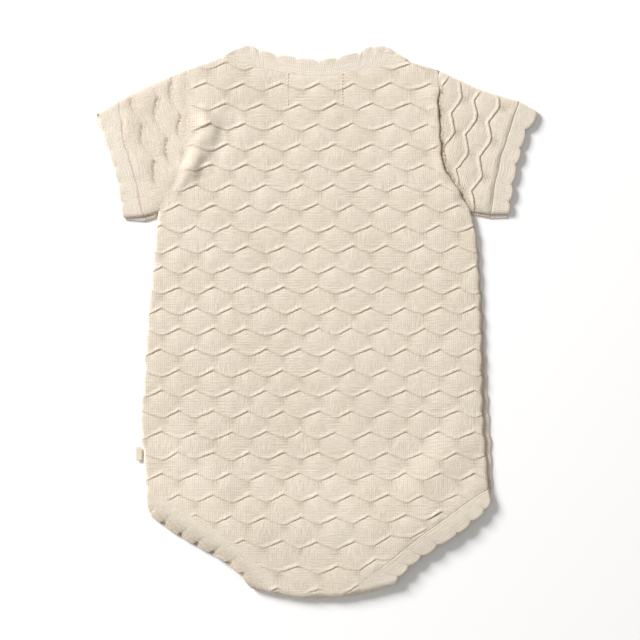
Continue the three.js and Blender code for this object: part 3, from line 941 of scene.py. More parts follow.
@dataclass(frozen=True)
class PaintedBoard:
    """Smooth white painted board under the garment, matt, with only the faintest shine."""

    name: str = "painted board"
    colour: str = "ffffff"
    roughness: float = 0.9
    shine: float = 0.1

    def make(self) -> bpy.types.Material:
        """Builds the material."""
        material, tree = new_tree(self.name)
        shader = add(tree, "BsdfPrincipled", {
            "Base Color": linear(self.colour), "Roughness": self.roughness,
            "Specular IOR Level": self.shine,
        })
        add(tree, "OutputMaterial", {"Surface": shader.outputs[0]})
        return material


# ------------------------------------------------------------------ sheets of cloth

RIM_ROWS = (1.5, 0.9, 0.4, 0)  # depths inside an outline of the rows of faces along an edge
SHORTEST = 0.05  # edges shorter than this are dissolved
MOST_ROUNDED = 0.88  # of the wall's thickness
UNEVEN_CREASE = 0.4
SQUARE = 1  # an edge with a wider angle, in radians, stays sharp


@dataclass
class Rim:
    """One stretch of a sheet's edge, and how far its upper and lower corners are rounded."""

    line: Array
    top: float
    under: float = 0.0
    reach: float = 1.5  # how far in from the edge the rounding starts
    dark: float = 0.0  # how dark the painted shade in the crease of its seam is
    dark_reach: float = 1.0
    dies_out: tuple[float, float] = (1000, 900)  # both are nothing at the first y and whole at the second

    def held(self, flat: Array) -> Array:
        """How much of the rounding and the crease there is at each point."""
        return smoothstep(flat[:, 1], *self.dies_out)


def flat_points(sheet: bmesh.types.BMesh) -> Array:
    """The vertices of a flat sheet, x and y, one a row."""
    return np.array([vertex.co.xy for vertex in sheet.verts])


def flat_grid(columns: int, rows: int) -> tuple[bmesh.types.BMesh, Array, Array]:
    """A flat grid of faces, to be moved into place.

    Args:
        columns: faces across.
        rows: faces along.

    Returns:
        The mesh, and each vertex's column and row, from the left and from the lowest y.
    """
    sheet = bmesh.new()
    bmesh.ops.create_grid(sheet, x_segments=columns, y_segments=rows, size=0.5)
    column, row = np.rint((flat_points(sheet) + 0.5) * (columns, rows)).astype(int).T
    return sheet, column, row


def move_to(vertices: list[bmesh.types.BMVert], points: Array) -> None:
    """Moves vertices in the plane.

    Args:
        vertices: the vertices.
        points: their new x and y.
    """
    for vertex, (x, y) in zip(vertices, points):
        vertex.co.x, vertex.co.y = x, y


def draw_out(sheet: bmesh.types.BMesh, edges: list[bmesh.types.BMEdge]) -> list[bmesh.types.BMVert]:
    """Adds a row of faces on edges of a flat sheet.

    Args:
        sheet: the sheet.
        edges: the edges.

    Returns:
        The new vertices, which still lie on the old ones.
    """
    made = bmesh.ops.extrude_edge_only(sheet, edges=edges)["geom"]
    return [item for item in made if isinstance(item, bmesh.types.BMVert)]


def trim(sheet: bmesh.types.BMesh, ring: Array, corners: list[Array]) -> None:
    """Cuts a flat sheet to an outline and gives it narrow rows of faces along its edge.

    Args:
        sheet: the sheet, larger than the outline.
        ring: the outline.
        corners: the outline's sharp corners, which the sheet's edge is drawn out to.
    """
    deepest, *levels = RIM_ROWS
    depth, _ = depth_inside(flat_points(sheet), ring)
    sheet.verts.index_update()
    spare = [face for face in sheet.faces if all(depth[v.index] <= deepest for v in face.verts)]
    bmesh.ops.delete(sheet, geom=spare, context="FACES")
    points = flat_points(sheet)
    depth, inward = depth_inside(points, ring)
    move_to(sheet.verts, points + np.maximum(deepest - depth, 0)[:, None] * inward)
    bmesh.ops.dissolve_degenerate(sheet, dist=SHORTEST, edges=sheet.edges[:])
    for level in levels:
        fresh = draw_out(sheet, [edge for edge in sheet.edges if edge.is_boundary])
        points = np.array([vertex.co.xy for vertex in fresh])
        depth, inward = depth_inside(points, ring)
        move_to(fresh, points + (level - depth)[:, None] * inward)
    rim = list({vertex for edge in sheet.edges if edge.is_boundary for vertex in edge.verts})
    rim.sort(key=lambda vertex: (vertex.co.x, vertex.co.y))
    places = np.array([vertex.co.xy for vertex in rim])
    for corner in corners:
        move_to([rim[int(np.argmin(np.linalg.norm(places - corner, axis=1)))]], [corner])


def thicken(sheet: bmesh.types.BMesh) -> tuple[Array, Array]:
    """Makes a flat sheet a closed wall from z = 0 to z = 1, to be laid later.

    Args:
        sheet: the flat sheet.

    Returns:
        Each vertex's flat place, and its share of the wall: 0 on the inner face, 1 on the outer.
    """
    made = bmesh.ops.extrude_face_region(sheet, geom=sheet.faces[:])["geom"]
    top = [item for item in made if isinstance(item, bmesh.types.BMVert)]
    bmesh.ops.translate(sheet, verts=top, vec=(0, 0, 1))
    bmesh.ops.recalc_face_normals(sheet, faces=sheet.faces[:])
    points = np.array([vertex.co for vertex in sheet.verts])
    return points[:, :2], points[:, 2]


def rounding(flat: Array, rims: list[Rim], upper: bool) -> Array:
    """How far the faces of a wall are drawn in towards its middle near its edges.

    Args:
        flat: the flat points.
        rims: the edges.
        upper: whether the upper corners are meant, or the lower ones.

    Returns:
        The distances.
    """
    total = np.zeros(len(flat))
    for rim in rims:
        drop = rim.top if upper else rim.under
        if drop > 0:
            share = 1 - np.minimum(nearest(flat, rim.line)[0] / rim.reach, 1)
            total = np.maximum(total, drop * rim.held(flat) * (1 - np.sqrt(1 - share**2)))
    return np.minimum(total, CLOTH * MOST_ROUNDED)


def crease(flat: Array, rims: list[Rim]) -> Array:
    """How little light reaches the cloth in the creases of its seams.

    Args:
        flat: the flat points.
        rims: the edges.

    Returns:
        The darkness at each point, unevenly from 0 to about 1.
    """
    total = np.zeros(len(flat))
    for rim in rims:
        if rim.dark > 0:
            dark = rim.dark * (1 + UNEVEN_CREASE * CREASE_RIPPLE.at(*flat.T)) * rim.held(flat)
            close = 1 - smoothstep(nearest(flat, rim.line)[0], 0, rim.dark_reach)
            total = np.maximum(total, dark * close)
    return total


def rounded_rise(flat: Array, share: Array, rims: list[Rim], relief: Array | float) -> Array:
    """How far the faces of a wall stand up, the outer one with its relief, near rounded edges.

    Args:
        flat: the flat points.
        share: their shares of the wall.
        rims: the edges.
        relief: the relief of the outer face.

    Returns:
        The distances.
    """
    return np.where(share > 0.5, relief - rounding(flat, rims, True), rounding(flat, rims, False))


def lay_below(flat: Array, share: Array, rims: list[Rim], off_ground: Array | float) -> Array:
    """Lays a lower layer on the ground.

    Args:
        flat: the flat points.
        share: their shares of the wall.
        rims: the edges.
        off_ground: how far its outer face, which is below, stays off the ground.

    Returns:
        The laid points.
    """
    rise = rounded_rise(flat, share, rims, CLOTH)
    return np.column_stack([flat, rise + off_ground * (share < 0.5)])


def to_mesh(sheet: bmesh.types.BMesh, name: str) -> bpy.types.Mesh:
    """Turns a working mesh into one that an object can have.

    Args:
        sheet: the working mesh, which is freed.
        name: the mesh's name.

    Returns:
        The mesh.
    """
    mesh = bpy.data.meshes.new(name)
    sheet.to_mesh(mesh)
    sheet.free()
    return mesh


def put(name: str, data: bpy.types.ID) -> bpy.types.Object:
    """Puts an object in the scene.

    Args:
        name: its name.
        data: its mesh, lamp or camera.

    Returns:
        The object.
    """
    item = bpy.data.objects.new(name, data)
    bpy.context.scene.collection.objects.link(item)
    return item


def finish_mesh(
    sheet: bmesh.types.BMesh, name: str, laid: Array, cloth: Array, marks: dict[str, Array],
) -> bpy.types.Mesh:
    """Turns a thickened sheet into a mesh with its map of the flat cloth.

    Args:
        sheet: the thickened sheet.
        name: the mesh's name.
        laid: each vertex's place, in millimetres.
        cloth: each vertex's place on the flat cloth, in millimetres.
        marks: values at each vertex that the finish reads, by name.

    Returns:
        The mesh, in metres.
    """
    for face in sheet.faces:
        face.smooth = True
    # The wall's cut edges are square where they are sewn, so that seams don't shine.
    for edge in sheet.edges:
        edge.smooth = edge.calc_face_angle(0) < SQUARE
    mesh = to_mesh(sheet, name)
    mesh.vertices.foreach_set("co", (laid * MM).ravel())
    corners = np.zeros(len(mesh.loops), int)
    mesh.loops.foreach_get("vertex_index", corners)
    mesh.uv_layers.new(name="cloth").data.foreach_set("uv", cloth[corners].ravel())
    for mark, values in marks.items():
        mesh.attributes.new(mark, "FLOAT", "POINT").data.foreach_set("value", values)
    mesh.update()
    return mesh


def place_piece(
    name: str, meshes: list[bpy.types.Mesh], material: bpy.types.Material,
) -> bpy.types.Object:
    """Makes one object of its meshes.

    Args:
        name: the object's name.
        meshes: the meshes, each in its place.
        material: the finish.

    Returns:
        The object, which rides on the one body.
    """
    whole = bmesh.new()
    for mesh in meshes:
        whole.from_mesh(mesh)
    joined = to_mesh(whole, name)
    joined.materials.append(material)
    piece = put(name, joined)
    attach(piece, "root")
    log.info("%s: %d faces", name, len(joined.polygons))
    return piece


# ------------------------------------------------------------------ the body


@dataclass
class BodyPanel:
    """The back or the front: welted knit from the shoulders to the crotch."""

    layer: Layer
    knit: bpy.types.Material
    columns_per_repeat: int = 12
    left: float = -134
    right: float = 134
    front_end: float = -181
    turned_end: float = -162
    sunk: float = 0.45  # how far the plain cloth of the front stays off the ground
    side_swell: float = 0.5  # how far the side edges swell out between the rows of welts
    side_steps: int = 130
    plain_from: float = 8  # how far below the last row of welts the plain cloth starts
    plain_row: float = 1.6  # its rows of faces
    border: float = 7  # the edges that it is drawn out from lie this close to the sheet's end
    # How far from each seam the welts start and are whole.
    arm_fade: tuple[float, float] = (2.2, 5)
    neck_fade: tuple[float, float] = (0.3, 3)
    leg_fades: tuple[tuple[float, float], ...] = ((0.4, 3), (0.4, 3.5))
    shoulder_fade: tuple[float, float] = (0, 1.8)

    def crotch_side(self, side: Side) -> Array:
        """A leg seam, then straight on to the panel's end."""
        line = straight_on(smooth_line(LEG_SEAM[self.layer, side]), self.end(), 6)
        return moved(line, side.sign * SEAM / 2)

    def end(self) -> float:
        """The flat y where the panel ends."""
        if self.layer is Layer.FRONT:
            return self.front_end
        turn = float(LAY.turn(np.array(LAY.middle)))
        return 2 * turn - math.pi * (LAY.outer - CLOTH / 2) - self.turned_end

    def side_line(self, side: Side) -> Array:
        """The side's edge, which swells out a little between the rows of welts.

        Args:
            side: the side.

        Returns:
            The edge's points, from the armhole down.
        """
        share = np.linspace(0, 1, self.side_steps)
        line = spaced(smooth_line(SIDE_EDGE[self.layer, side]), share)
        swell = self.side_swell * held_ends(share, 8)
        line[:, 0] -= side.sign * swell * np.cos(math.tau * BODY_WELTS.row_at(line[:, 1]))
        return line

    def rims(self) -> list[Rim]:
        """The panel's edges, in order round it from the left shoulder."""
        neck = moved(smooth_line(NECK_SEAM[self.layer]), SEAM / 2)
        left_arm, right_arm = (moved(armhole(side), side.sign * SEAM / 2) for side in Side)
        left_side, right_side = (self.side_line(side) for side in Side)
        left_leg, right_leg = (self.crotch_side(side) for side in Side)
        top, under = (1, 0) if self.layer is Layer.BACK else (0.4, 1)
        return [
            Rim(neck, 0, 0.4 * under, 1.2, dark=0.3 * top),
            Rim(right_arm, 0.5 * top, 0.6 * under, 1.4, 1.1 * top, dark_reach=2.2, dies_out=SHOULDER),
            Rim(right_side, 1.4 * top, 1.2 * under, 2.4),
            Rim(right_leg, 0.12 * top, 0.5 * under, 1.2, dark=0.6 * top, dies_out=CROTCH),
            Rim(left_leg[::-1], 0, 0.5 * under, 1.2),
            Rim(left_side[::-1], 1.4 * top, 1.2 * under, 2.4),
            Rim(left_arm[::-1], 0, 0.6 * under, 2.2),
        ]

    def flat_sheet(self, ring: Array) -> bmesh.types.BMesh:
        """The panel flat: its grid follows the welts, so that each runs along its own edges.

        Args:
            ring: the outline.

        Returns:
            The sheet, trimmed.
        """
        step = BODY_WELTS.repeat / self.columns_per_repeat
        first = math.floor((self.left - BODY_WELTS.centre) / step)
        count = math.ceil((self.right - self.left) / step) + 1
        columns = BODY_WELTS.centre + step * (first + np.arange(count + 1))
        lines = BODY_WELTS.grid_rows(columns)
        sheet, column, row = flat_grid(count, len(lines) - 1)
        # Past the last row the cloth is plain.
        last = BODY_WELTS.line(BODY_WELTS.rows - 1, columns) - self.plain_from
        lines = np.maximum(lines, last)
        move_to(sheet.verts, np.column_stack([columns[column], lines[row, column]]))
        self.lengthen(sheet, float(ring[:, 1].min()) - 2)
        trim(sheet, ring, [rim.line[i] for rim in self.rims() for i in (0, -1)])
        return sheet

    def lengthen(self, sheet: bmesh.types.BMesh, end: float) -> None:
        """Adds plain rows below the last welt.

        Args:
            sheet: the flat sheet.
            end: the y to reach.
        """
        lowest = min(vertex.co.y for vertex in sheet.verts)
        while lowest > end:
            close = lowest + self.border
            border = [e for e in sheet.edges if e.is_boundary and all(v.co.y < close for v in e.verts)]
            lying = [e for e in border if abs(e.verts[0].co.x - e.verts[1].co.x) > 0.5]
            bmesh.ops.translate(sheet, verts=draw_out(sheet, lying), vec=(0, -self.plain_row, 0))
            lowest -= self.plain_row

    def welts(self, flat: Array, rims: list[Rim]) -> tuple[Array, dict[str, Array]]:
        """The panel's relief and marks, with its welts faded out beside the seams.

        Args:
            flat: the flat points.
            rims: the panel's edges.

        Returns:
            The height over the plain cloth, and the marks that the finish reads.
        """
        neck, right_arm, _, *legs, _, left_arm = (nearest(flat, rim.line)[0] for rim in rims)
        fade = smoothstep(np.minimum(left_arm, right_arm), *self.arm_fade)
        fade *= smoothstep(neck, *self.neck_fade) * LAY.fade(flat[:, 1])
        for leg, reach in zip(legs, self.leg_fades):
            fade *= smoothstep(leg, *reach)
        for end, start in ((0, 1), (-1, 0)):  # the shoulders run on from the neck seam to the armholes
            shoulder = np.array([rims[end].line[-1], rims[start].line[0]])
            fade *= smoothstep(nearest(flat, shoulder)[0], *self.shoulder_fade)
        relief, marks = BODY_WELTS.relief(*flat.T)
        marks = {name: mark * fade for name, mark in marks.items()}
        # Painted shade in the creases of the seams joins that of the slits.
        marks["slit"] = np.maximum(marks["slit"], crease(flat, rims))
        return relief * fade, marks

    def build(self, sewn_on: tuple[bpy.types.Object, ...] = ()) -> bpy.types.Object:
        """Builds and dresses the panel.

        Args:
            sewn_on: the small pieces that are sewn to it; not used.

        Returns:
            The panel.
        """
        rims = self.rims()
        ring = np.vstack([rim.line for rim in rims])
        sheet = self.flat_sheet(ring)
        flat, share = thicken(sheet)
        relief, marks = self.welts(flat, rims)
        if self.layer is Layer.BACK:
            laid = LAY.place(*flat.T, share, rounded_rise(flat, share, rims, relief))
        else:
            laid = lay_below(flat, share, rims, BODY_WELTS.off_ground(relief, self.sunk))
        name = f"{self.layer.value}_panel"
        piece = place_piece(name, [finish_mesh(sheet, name, laid, flat, marks)], self.knit)
        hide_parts(f"{self.layer.value}_body")
        return piece


@dataclass
class Sleeve:
    """A short sleeve: one piece folded at its top, open at the armhole and the cuff."""

    side: Side
    knit: bpy.types.Material
    columns: int = 78
    before: int = 24  # columns before the welts' centre
    columns_per_repeat: int = 12
    plain_rows: int = 8  # rows of vertices past the last welt
    plain_row: float = 2.2
    sunk: float = 0.4  # how far the lower layer's plain cloth stays off the ground
    # How far from each edge the welts start and are whole.
    fades: tuple[tuple[str, float, float], ...] = (("armhole", 1, 3.5), ("cuff", 0.6, 3), ("fold", 0, 5))
    lowered: float = 0.65  # share of the back's height that the right sleeve lies lower beside it
    lowered_reach: tuple[float, float] = (1, 8)

    def edges(self, layer: Layer) -> dict[str, Array]:
        """The four edges of one layer by name, in order round it.

        Args:
            layer: the layer.

        Returns:
            The edges' points.
        """
        away = self.side.sign * SEAM / 2
        body, cuff = moved(armhole(self.side), -away), moved(cuff_seam(self.side), away)
        if layer is Layer.FRONT:
            at_body, at_cuff, _ = UNDERARM_SHOWS[self.side]
            body = np.vstack([body, body[-1] + (0.6 * self.side.sign * at_body, -at_body)])
            cuff = np.vstack([cuff, cuff[-1] + (0, -at_cuff)])
        fold = smooth_line(SLEEVE_FOLD[self.side])
        underarm = np.linspace(body[-1], cuff[-1], 8)
        return {"armhole": body, "underarm": underarm, "cuff": cuff[::-1], "fold": fold[::-1]}

    def rims(self, layer: Layer, edges: dict[str, Array]) -> list[Rim]:
        """How the edges are rounded and creased, the armhole's first.

        Args:
            layer: the layer.
            edges: its edges by name.

        Returns:
            The edges with their rounding and creases.
        """
        right = self.side is Side.RIGHT
        if layer is Layer.FRONT:
            return [
                Rim(edges["armhole"], 0, 0.4), Rim(edges["cuff"], 0, 0.4),
                Rim(edges["fold"], 0, CLOTH, 2.2), Rim(edges["underarm"], 0.5, 0.5),
            ]
        return [
            Rim(edges["armhole"], 0.6 * right, 0, 2.6, 2.0 * right, dark_reach=4.6, dies_out=SHOULDER),
            Rim(edges["cuff"], 0.2, reach=1.2, dark=0.6 if right else 1.4, dark_reach=0.8),
            Rim(edges["fold"], CLOTH, reach=2.2), Rim(edges["underarm"], 1.4, reach=3),
        ]

    def local_frame(self) -> tuple[Array, Array, Array]:
        """The start of the cuff seam's chord, and the unit directions along it and to the armhole."""
        table = np.array(CUFF_SEAM[self.side], float)
        start, end = (table[0], table[-1]) if self.side is Side.LEFT else (table[-1], table[0])
        along = (end - start) / np.linalg.norm(end - start)
        return start, along, np.array([-along[1], along[0]])

    def flat_sheet(self, edges: dict[str, Array]) -> bmesh.types.BMesh:
        """One layer flat: its grid follows the welts.

        Args:
            edges: the layer's edges.

        Returns:
            The sheet, trimmed.
        """
        start, along, to_armhole = self.local_frame()
        welts = SLEEVE_WELTS[self.side]
        step = welts.repeat / self.columns_per_repeat
        columns = welts.centre + step * (np.arange(self.columns + 1) - self.before)
        lines = welts.grid_rows(columns)
        plain = [lines[0] - self.plain_row * i for i in range(self.plain_rows, 0, -1)]
        lines = np.vstack([plain, lines])
        sheet, column, row = flat_grid(self.columns, len(lines) - 1)
        up = lines[row, column]
        move_to(sheet.verts, start + columns[column][:, None] * along + up[:, None] * to_armhole)
        trim(sheet, np.vstack(list(edges.values())), [line[0] for line in edges.values()])
        return sheet

    def layer_mesh(self, layer: Layer) -> bpy.types.Mesh:
        """One layer of the sleeve: the back one lies on the front one.

        Args:
            layer: the layer.

        Returns:
            The mesh in its place.
        """
        edges = self.edges(layer)
        sheet = self.flat_sheet(edges)
        flat, share = thicken(sheet)
        start, *directions = self.local_frame()
        cloth = (flat - start) @ np.column_stack(directions)
        welts = SLEEVE_WELTS[self.side]
        relief, marks = welts.relief(*cloth.T)
        fade = 1
        for name, begin, full in self.fades:
            fade = fade * smoothstep(nearest(flat, edges[name])[0], begin, full)
        relief, marks = relief * fade, {name: mark * fade for name, mark in marks.items()}
        rims = self.rims(layer, edges)
        if layer is Layer.FRONT:
            laid = lay_below(flat, share, rims, welts.off_ground(relief, self.sunk))
            return finish_mesh(sheet, "sleeve layer", laid, cloth, marks)
        rise = rounded_rise(flat, share, rims, relief)
        if self.side is Side.RIGHT:
            # Beside the right armhole the sleeve lies low, and the back stands up over it.
            close = 1 - smoothstep(nearest(flat, edges["armhole"])[0], *self.lowered_reach)
            rise -= self.lowered * LAY.off_front(*flat.T) * rims[0].held(flat) * close
        # Painted shade in the creases of the seams joins that of the slits.
        marks["slit"] = np.maximum(marks["slit"], crease(flat, rims))
        return finish_mesh(sheet, "sleeve layer", LAY.place(*flat.T, share, rise), cloth, marks)

    def build(self, sewn_on: tuple[bpy.types.Object, ...] = ()) -> bpy.types.Object:
        """Builds and dresses the sleeve.

        Args:
            sewn_on: the small pieces that are sewn to it; not used.

        Returns:
            The sleeve.
        """
        name = f"sleeve_{self.side.value}_knit"
        meshes = [self.layer_mesh(layer) for layer in (Layer.FRONT, Layer.BACK)]
        piece = place_piece(name, meshes, self.knit)
        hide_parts(f"sleeve_{self.side.value}")
        ring = np.vstack(list(self.edges(Layer.FRONT).values()))
        return piece


class BandKind(Enum):
    """Where a scalloped band is sewn on."""

    NECK = "neckband"
    CUFF = "cuff"
    LEG = "leg_band"


# How far each tongue of an edge stands out; the edges that aren't listed are hidden and even.
TONGUES: dict[tuple[BandKind, Layer, Side | None], tuple[float, ...]] = {
    (BandKind.NECK, Layer.BACK, None): (0.2, 0.2, 0.3, 1.9, 2.1, 1.8, 1.9, 2.1, 0.3, 0.2, 0.2, 0.2, 0.2),
    (BandKind.CUFF, Layer.BACK, Side.LEFT): (0.2, 0.4, 1.0, 1.6, 1.7, 1.3),
    (BandKind.CUFF, Layer.BACK, Side.RIGHT): (3.2, 1.7, 2.1, 1.8, 2.2, 1.5),
    (BandKind.LEG, Layer.BACK, Side.LEFT): (0.5, 1.1, 1.3, 1.1, 1.3, 1.2, 1.1, 0.7),
    (BandKind.LEG, Layer.BACK, Side.RIGHT): (1.2, 1.9, 2.0, 1.7, 2.1, 1.8, 1.9, 1.2),
}


@dataclass
class Band:
    """One layer of a scalloped band, knitted across from its seam to its edge."""

    kind: BandKind
    layer: Layer
    side: Side | None
    knit: bpy.types.Material
    scallop: float = 2.0
    per_tongue: int = 12
    across: tuple[float, ...] = (0, 0.03, 0.08, 0.16, 0.27, 0.4, 0.53, 0.66, 0.78, 0.88, 0.94, 0.98, 1)
    cup: float = 0.35  # how far the middle of a tongue stands up
    cupped: tuple[float, float] = (0.45, 0.9)  # between these shares across
    blunt: float = 0.5  # of the tongues, and of those that curl under
    curled_blunt: float = 0.3
    # The edge of a leg band of the back droops to this height, by this share on each side,
    # between these shares across, and not at the crotch. A cuff's droops on to its front.
    leg_low: float = 0.4
    leg_droop: tuple[float, float] = (0.75, 0.12)
    curl: tuple[float, float] = (0.35, 1.0)
    curl_ends: tuple[float, float] = (-189, -164)
    cuff_droop: tuple[float, float] = (0.2, 1)
    # The painted shade in the notches where the left leg's edge curls under: their width, their place
    # across and along, and how dark the painted shade in them and on the curled edge is.
    notch_wide: tuple[float, float] = (0.1, 0.55)
    notch_across: tuple[float, float] = (0.76, 0.93)
    notch_along: tuple[tuple[float, float], ...] = ((-187, -184), (-141, -144))
    notch_shade: float = 4
    curl_shade: float = 0.9
    # The painted shade of a small hole at the left cuff's top corner: its place from there, its size and
    # darkness.
    hole: tuple[float, float] = (0.9, -2.1)
    hole_size: float = 0.9
    hole_shade: float = 9

    @property
    def curled(self) -> bool:
        """Whether the band's edge curls under."""
        return self.kind is BandKind.LEG and self.side is Side.LEFT

    def lines(self) -> tuple[Array, Array]:
        """The seam and the scalloped edge, with as many points each."""
        outward = -1 if self.side is None else -self.side.sign
        if self.kind is BandKind.NECK:
            seam, notches = smooth_line(NECK_SEAM[self.layer]), NECK_NOTCHES[self.layer]
        elif self.kind is BandKind.CUFF:
            seam, notches = cuff_seam(self.side), CUFF_NOTCHES[self.side]
        else:
            edge_of = (self.layer, self.side)
            seam, notches = smooth_line(LEG_SEAM[edge_of]), LEG_NOTCHES[edge_of]
        depths = TONGUES.get((self.kind, self.layer, self.side), (self.scallop,) * (len(notches) - 1))
        blunt = self.curled_blunt if self.curled else self.blunt
        edge = scalloped(notches, outward, depths, blunt, self.per_tongue)
        base = smooth_line(notches, self.per_tongue)
        if self.kind is BandKind.LEG:
            end = BodyPanel(self.layer, self.knit).end()
            steps = 3 * self.per_tongue if self.layer is Layer.BACK else 3
            seam, edge, base = (straight_on(line, end, steps) for line in (seam, edge, base))
        if self.kind is BandKind.CUFF and self.layer is Layer.FRONT:
            _, at_seam, at_edge = UNDERARM_SHOWS[self.side]
            seam, edge, base = (
                np.vstack([line, line[-1] + (0, -shows)])
                for line, shows in ((seam, at_seam), (edge, at_edge), (base, at_edge))
            )
        way = travelled(base)
        return moved(spaced(seam, way / way[-1]), outward * SEAM / 2), edge

    def rims(self, seam: Array, edge: Array) -> list[Rim]:
        """The band's edges: its seam, its scalloped edge, its start and its end.

        Args:
            seam: the seam's points.
            edge: the scalloped edge's points.

        Returns:
            The edges with their rounding and creases.
        """
        start, end = (np.array([seam[i], edge[i]]) for i in (0, -1))
        upper, right = self.layer is Layer.BACK, self.side is Side.RIGHT
        outer = Rim(edge, 0.8, 0.6, 1)
        if self.kind is BandKind.CUFF:  # it is folded at its top, as the sleeve is
            return [
                Rim(seam, 0.2, 0.2, 1.2, dark=0.5 if right else 1.2, dark_reach=0.6), outer,
                Rim(start, CLOTH * upper, CLOTH * (not upper), 2.2),
                Rim(end, 1.4 if upper else 0.5, 0.3, 3 if upper else 1.5),
            ]
        leg = self.kind is BandKind.LEG
        sewn = leg and right
        ends = [Rim(line, 0.8 if leg else 0.3, 0.2, 1) for line in (start, end)]
        return [Rim(seam, 0.12 * sewn, 0.2, 1, dark=0.6 * sewn, dies_out=CROTCH), outer, *ends]

    def droop(self, x: Array, y: Array, out: Array) -> Array:
        """How far a band of the back hangs down at its edge.

        Args:
            x: the places across.
            y: the places along.
            out: from 0 at the seam to 1 at the edge.

        Returns:
            The distances.
        """
        if self.kind is BandKind.NECK:
            return np.zeros(len(x))
        over = LAY.off_front(x, y)
        if self.kind is BandKind.CUFF:
            return smoothstep(out, *self.cuff_droop) * over
        reach = smoothstep(out, *self.curl) * smoothstep(y, *self.curl_ends)
        return reach * (UPPER + over - self.leg_low) * self.leg_droop[not self.curled]

    def darkness(self, flat: Array, out: Array, tongue: Array, corner: Array) -> Array:
        """How little light reaches the band where it is open or curled.

        Args:
            flat: the flat points.
            out: from 0 at the seam to 1 at the edge.
            tongue: from 0 at a notch to 1 in the middle of a tongue.
            corner: the corner that the edge starts from.

        Returns:
            The darkness at each point.
        """
        dark = np.zeros(len(flat))
        if self.kind is BandKind.CUFF and self.side is Side.LEFT:
            # Painted shade stands in for the small dark hole that the end of the cuff's own seam leaves
            # at its top corner.
            away = np.linalg.norm(flat - corner - self.hole, axis=1)
            dark += self.hole_shade * np.exp(-((away / self.hole_size) ** 2))
        if self.curled:
            # Where its edge curls under, the notches open on to the dark below: painted shade, with more
            # painted shade over the curled edge.
            notch = (1 - smoothstep(tongue, *self.notch_wide)) * smoothstep(out, *self.notch_across)
            for reach in self.notch_along:
                notch *= smoothstep(flat[:, 1], *reach)
            dark += self.notch_shade * notch + self.curl_shade * smoothstep(out, 0, 0.9)
        return dark

    def build_mesh(self) -> tuple[bpy.types.Mesh, Array]:
        """The band's mesh and its outline."""
        seam, edge = self.lines()
        sheet, column, row = flat_grid(len(edge) - 1, len(self.across) - 1)
        out = np.array(self.across)[row]
        move_to(sheet.verts, seam[column] + out[:, None] * (edge[column] - seam[column]))
        # Each vertex keeps its column and its share across while the sheet is thickened.
        kept = [sheet.verts.layers.float.new(name) for name in ("column", "share")]
        for vertex, *values in zip(sheet.verts, column, out):
            for layer, value in zip(kept, values):
                vertex[layer] = float(value)
        flat, share = thicken(sheet)
        column, out = np.array([[vertex[layer] for layer in kept] for vertex in sheet.verts]).T
        column = np.rint(column).astype(int)
        wide = np.linalg.norm(edge - seam, axis=1)
        cloth = np.column_stack([travelled(seam)[column], out * wide[column]])
        tongue = np.abs(np.sin(np.pi * column / self.per_tongue))
        rims = self.rims(seam, edge)
        marks = dict(zip(("gather", "slit", "roll"), np.zeros((3, len(flat)))))
        if self.layer is Layer.FRONT:
            laid = lay_below(flat, share, rims, 0)
        else:
            stand = self.cup * tongue * smoothstep(out, *self.cupped) * LAY.fade(flat[:, 1])
            laid = LAY.place(*flat.T, share, rounded_rise(flat, share, rims, stand))
            laid[:, 2] -= self.droop(*flat.T, out)
            # Painted shade in the seam's crease, the notches, the curled edge and the cuff's corner.
            marks["slit"] = crease(flat, rims) + self.darkness(flat, out, tongue, edge[0])
        return finish_mesh(sheet, "band layer", laid, cloth, marks), np.vstack([seam, edge[::-1]])


def build_band(
    kind: BandKind, layer: Layer | None, side: Side | None, knit: bpy.types.Material,
) -> bpy.types.Object:
    """Builds a band piece: one layer, or both layers of a cuff.

    Args:
        kind: where the band is.
        layer: its layer, or nothing for a cuff.
        side: its side, or nothing for the neck.
        knit: the finish.

    Returns:
        The piece. Its cut is a straight strip, as long as its seam.
    """
    layers = [layer] if layer else [Layer.FRONT, Layer.BACK]
    made = [Band(kind, one, side, knit).build_mesh() for one in layers]
    node = "_".join(part.value for part in (kind, side, layer) if part)
    piece = place_piece(f"{node}_knit", [mesh for mesh, _ in made], knit)
    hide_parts(node)
    return piece


# ------------------------------------------------------------------ small pieces that are sewn on


@dataclass
class SideTab:
    """A blank loop of tape in the left side seam, folded at its outer end."""

    tape: bpy.types.Material
    inner: float = -126.2
    outer: float = -130.5
    bottom: float = -100.6
    wide: float = 9.6
    low: float = 1.25  # the lower face of the loop
    high: float = 2.45  # the upper face of the loop
    thick: float = 0.42
    steps: tuple[int, int] = (28, 12)
    selvedge: float = 0.07  # share of the width where the tape thins out
    thinned: float = 0.6
    sag: float = 0.12
    skew: float = 0.25

    def build(self) -> bpy.types.Object:
        """Builds and dresses the loop."""
        radius = (self.high - self.low - self.thick) / 2
        flat_run = abs(self.outer - self.inner) - radius
        turn = math.pi * radius
        sheet, _, _ = flat_grid(*self.steps)
        flat, share = thicken(sheet)
        run, across = (flat + 0.5).T
        run = run * (2 * flat_run + turn)
        # The tape thins a little at its selvedges and sags between them.
        edge = 1 - np.minimum(np.minimum(across, 1 - across) / self.selvedge, 1)
        out = (share - 0.5) * self.thick * (1 - self.thinned * edge**2)
        angle = np.clip((run - flat_run) / radius, 0, math.pi)
        straight = np.where(run < flat_run, flat_run - run, np.maximum(run - flat_run - turn, 0))
        x = self.inner - flat_run + straight - (radius + out) * np.sin(angle)
        y = self.bottom + self.wide * across + self.skew * np.sin(angle / 2)
        z = (self.low + self.high) / 2 - (radius + out) * np.cos(angle)
        z -= self.sag * np.sin(np.pi * across) * (angle > math.pi / 2)
        mesh = finish_mesh(sheet, "side tab", np.column_stack([x, y, z]), np.column_stack([run, y]), {})
        piece = place_piece("side_tab_tape", [mesh], self.tape)
        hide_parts("side_tab")
        return piece


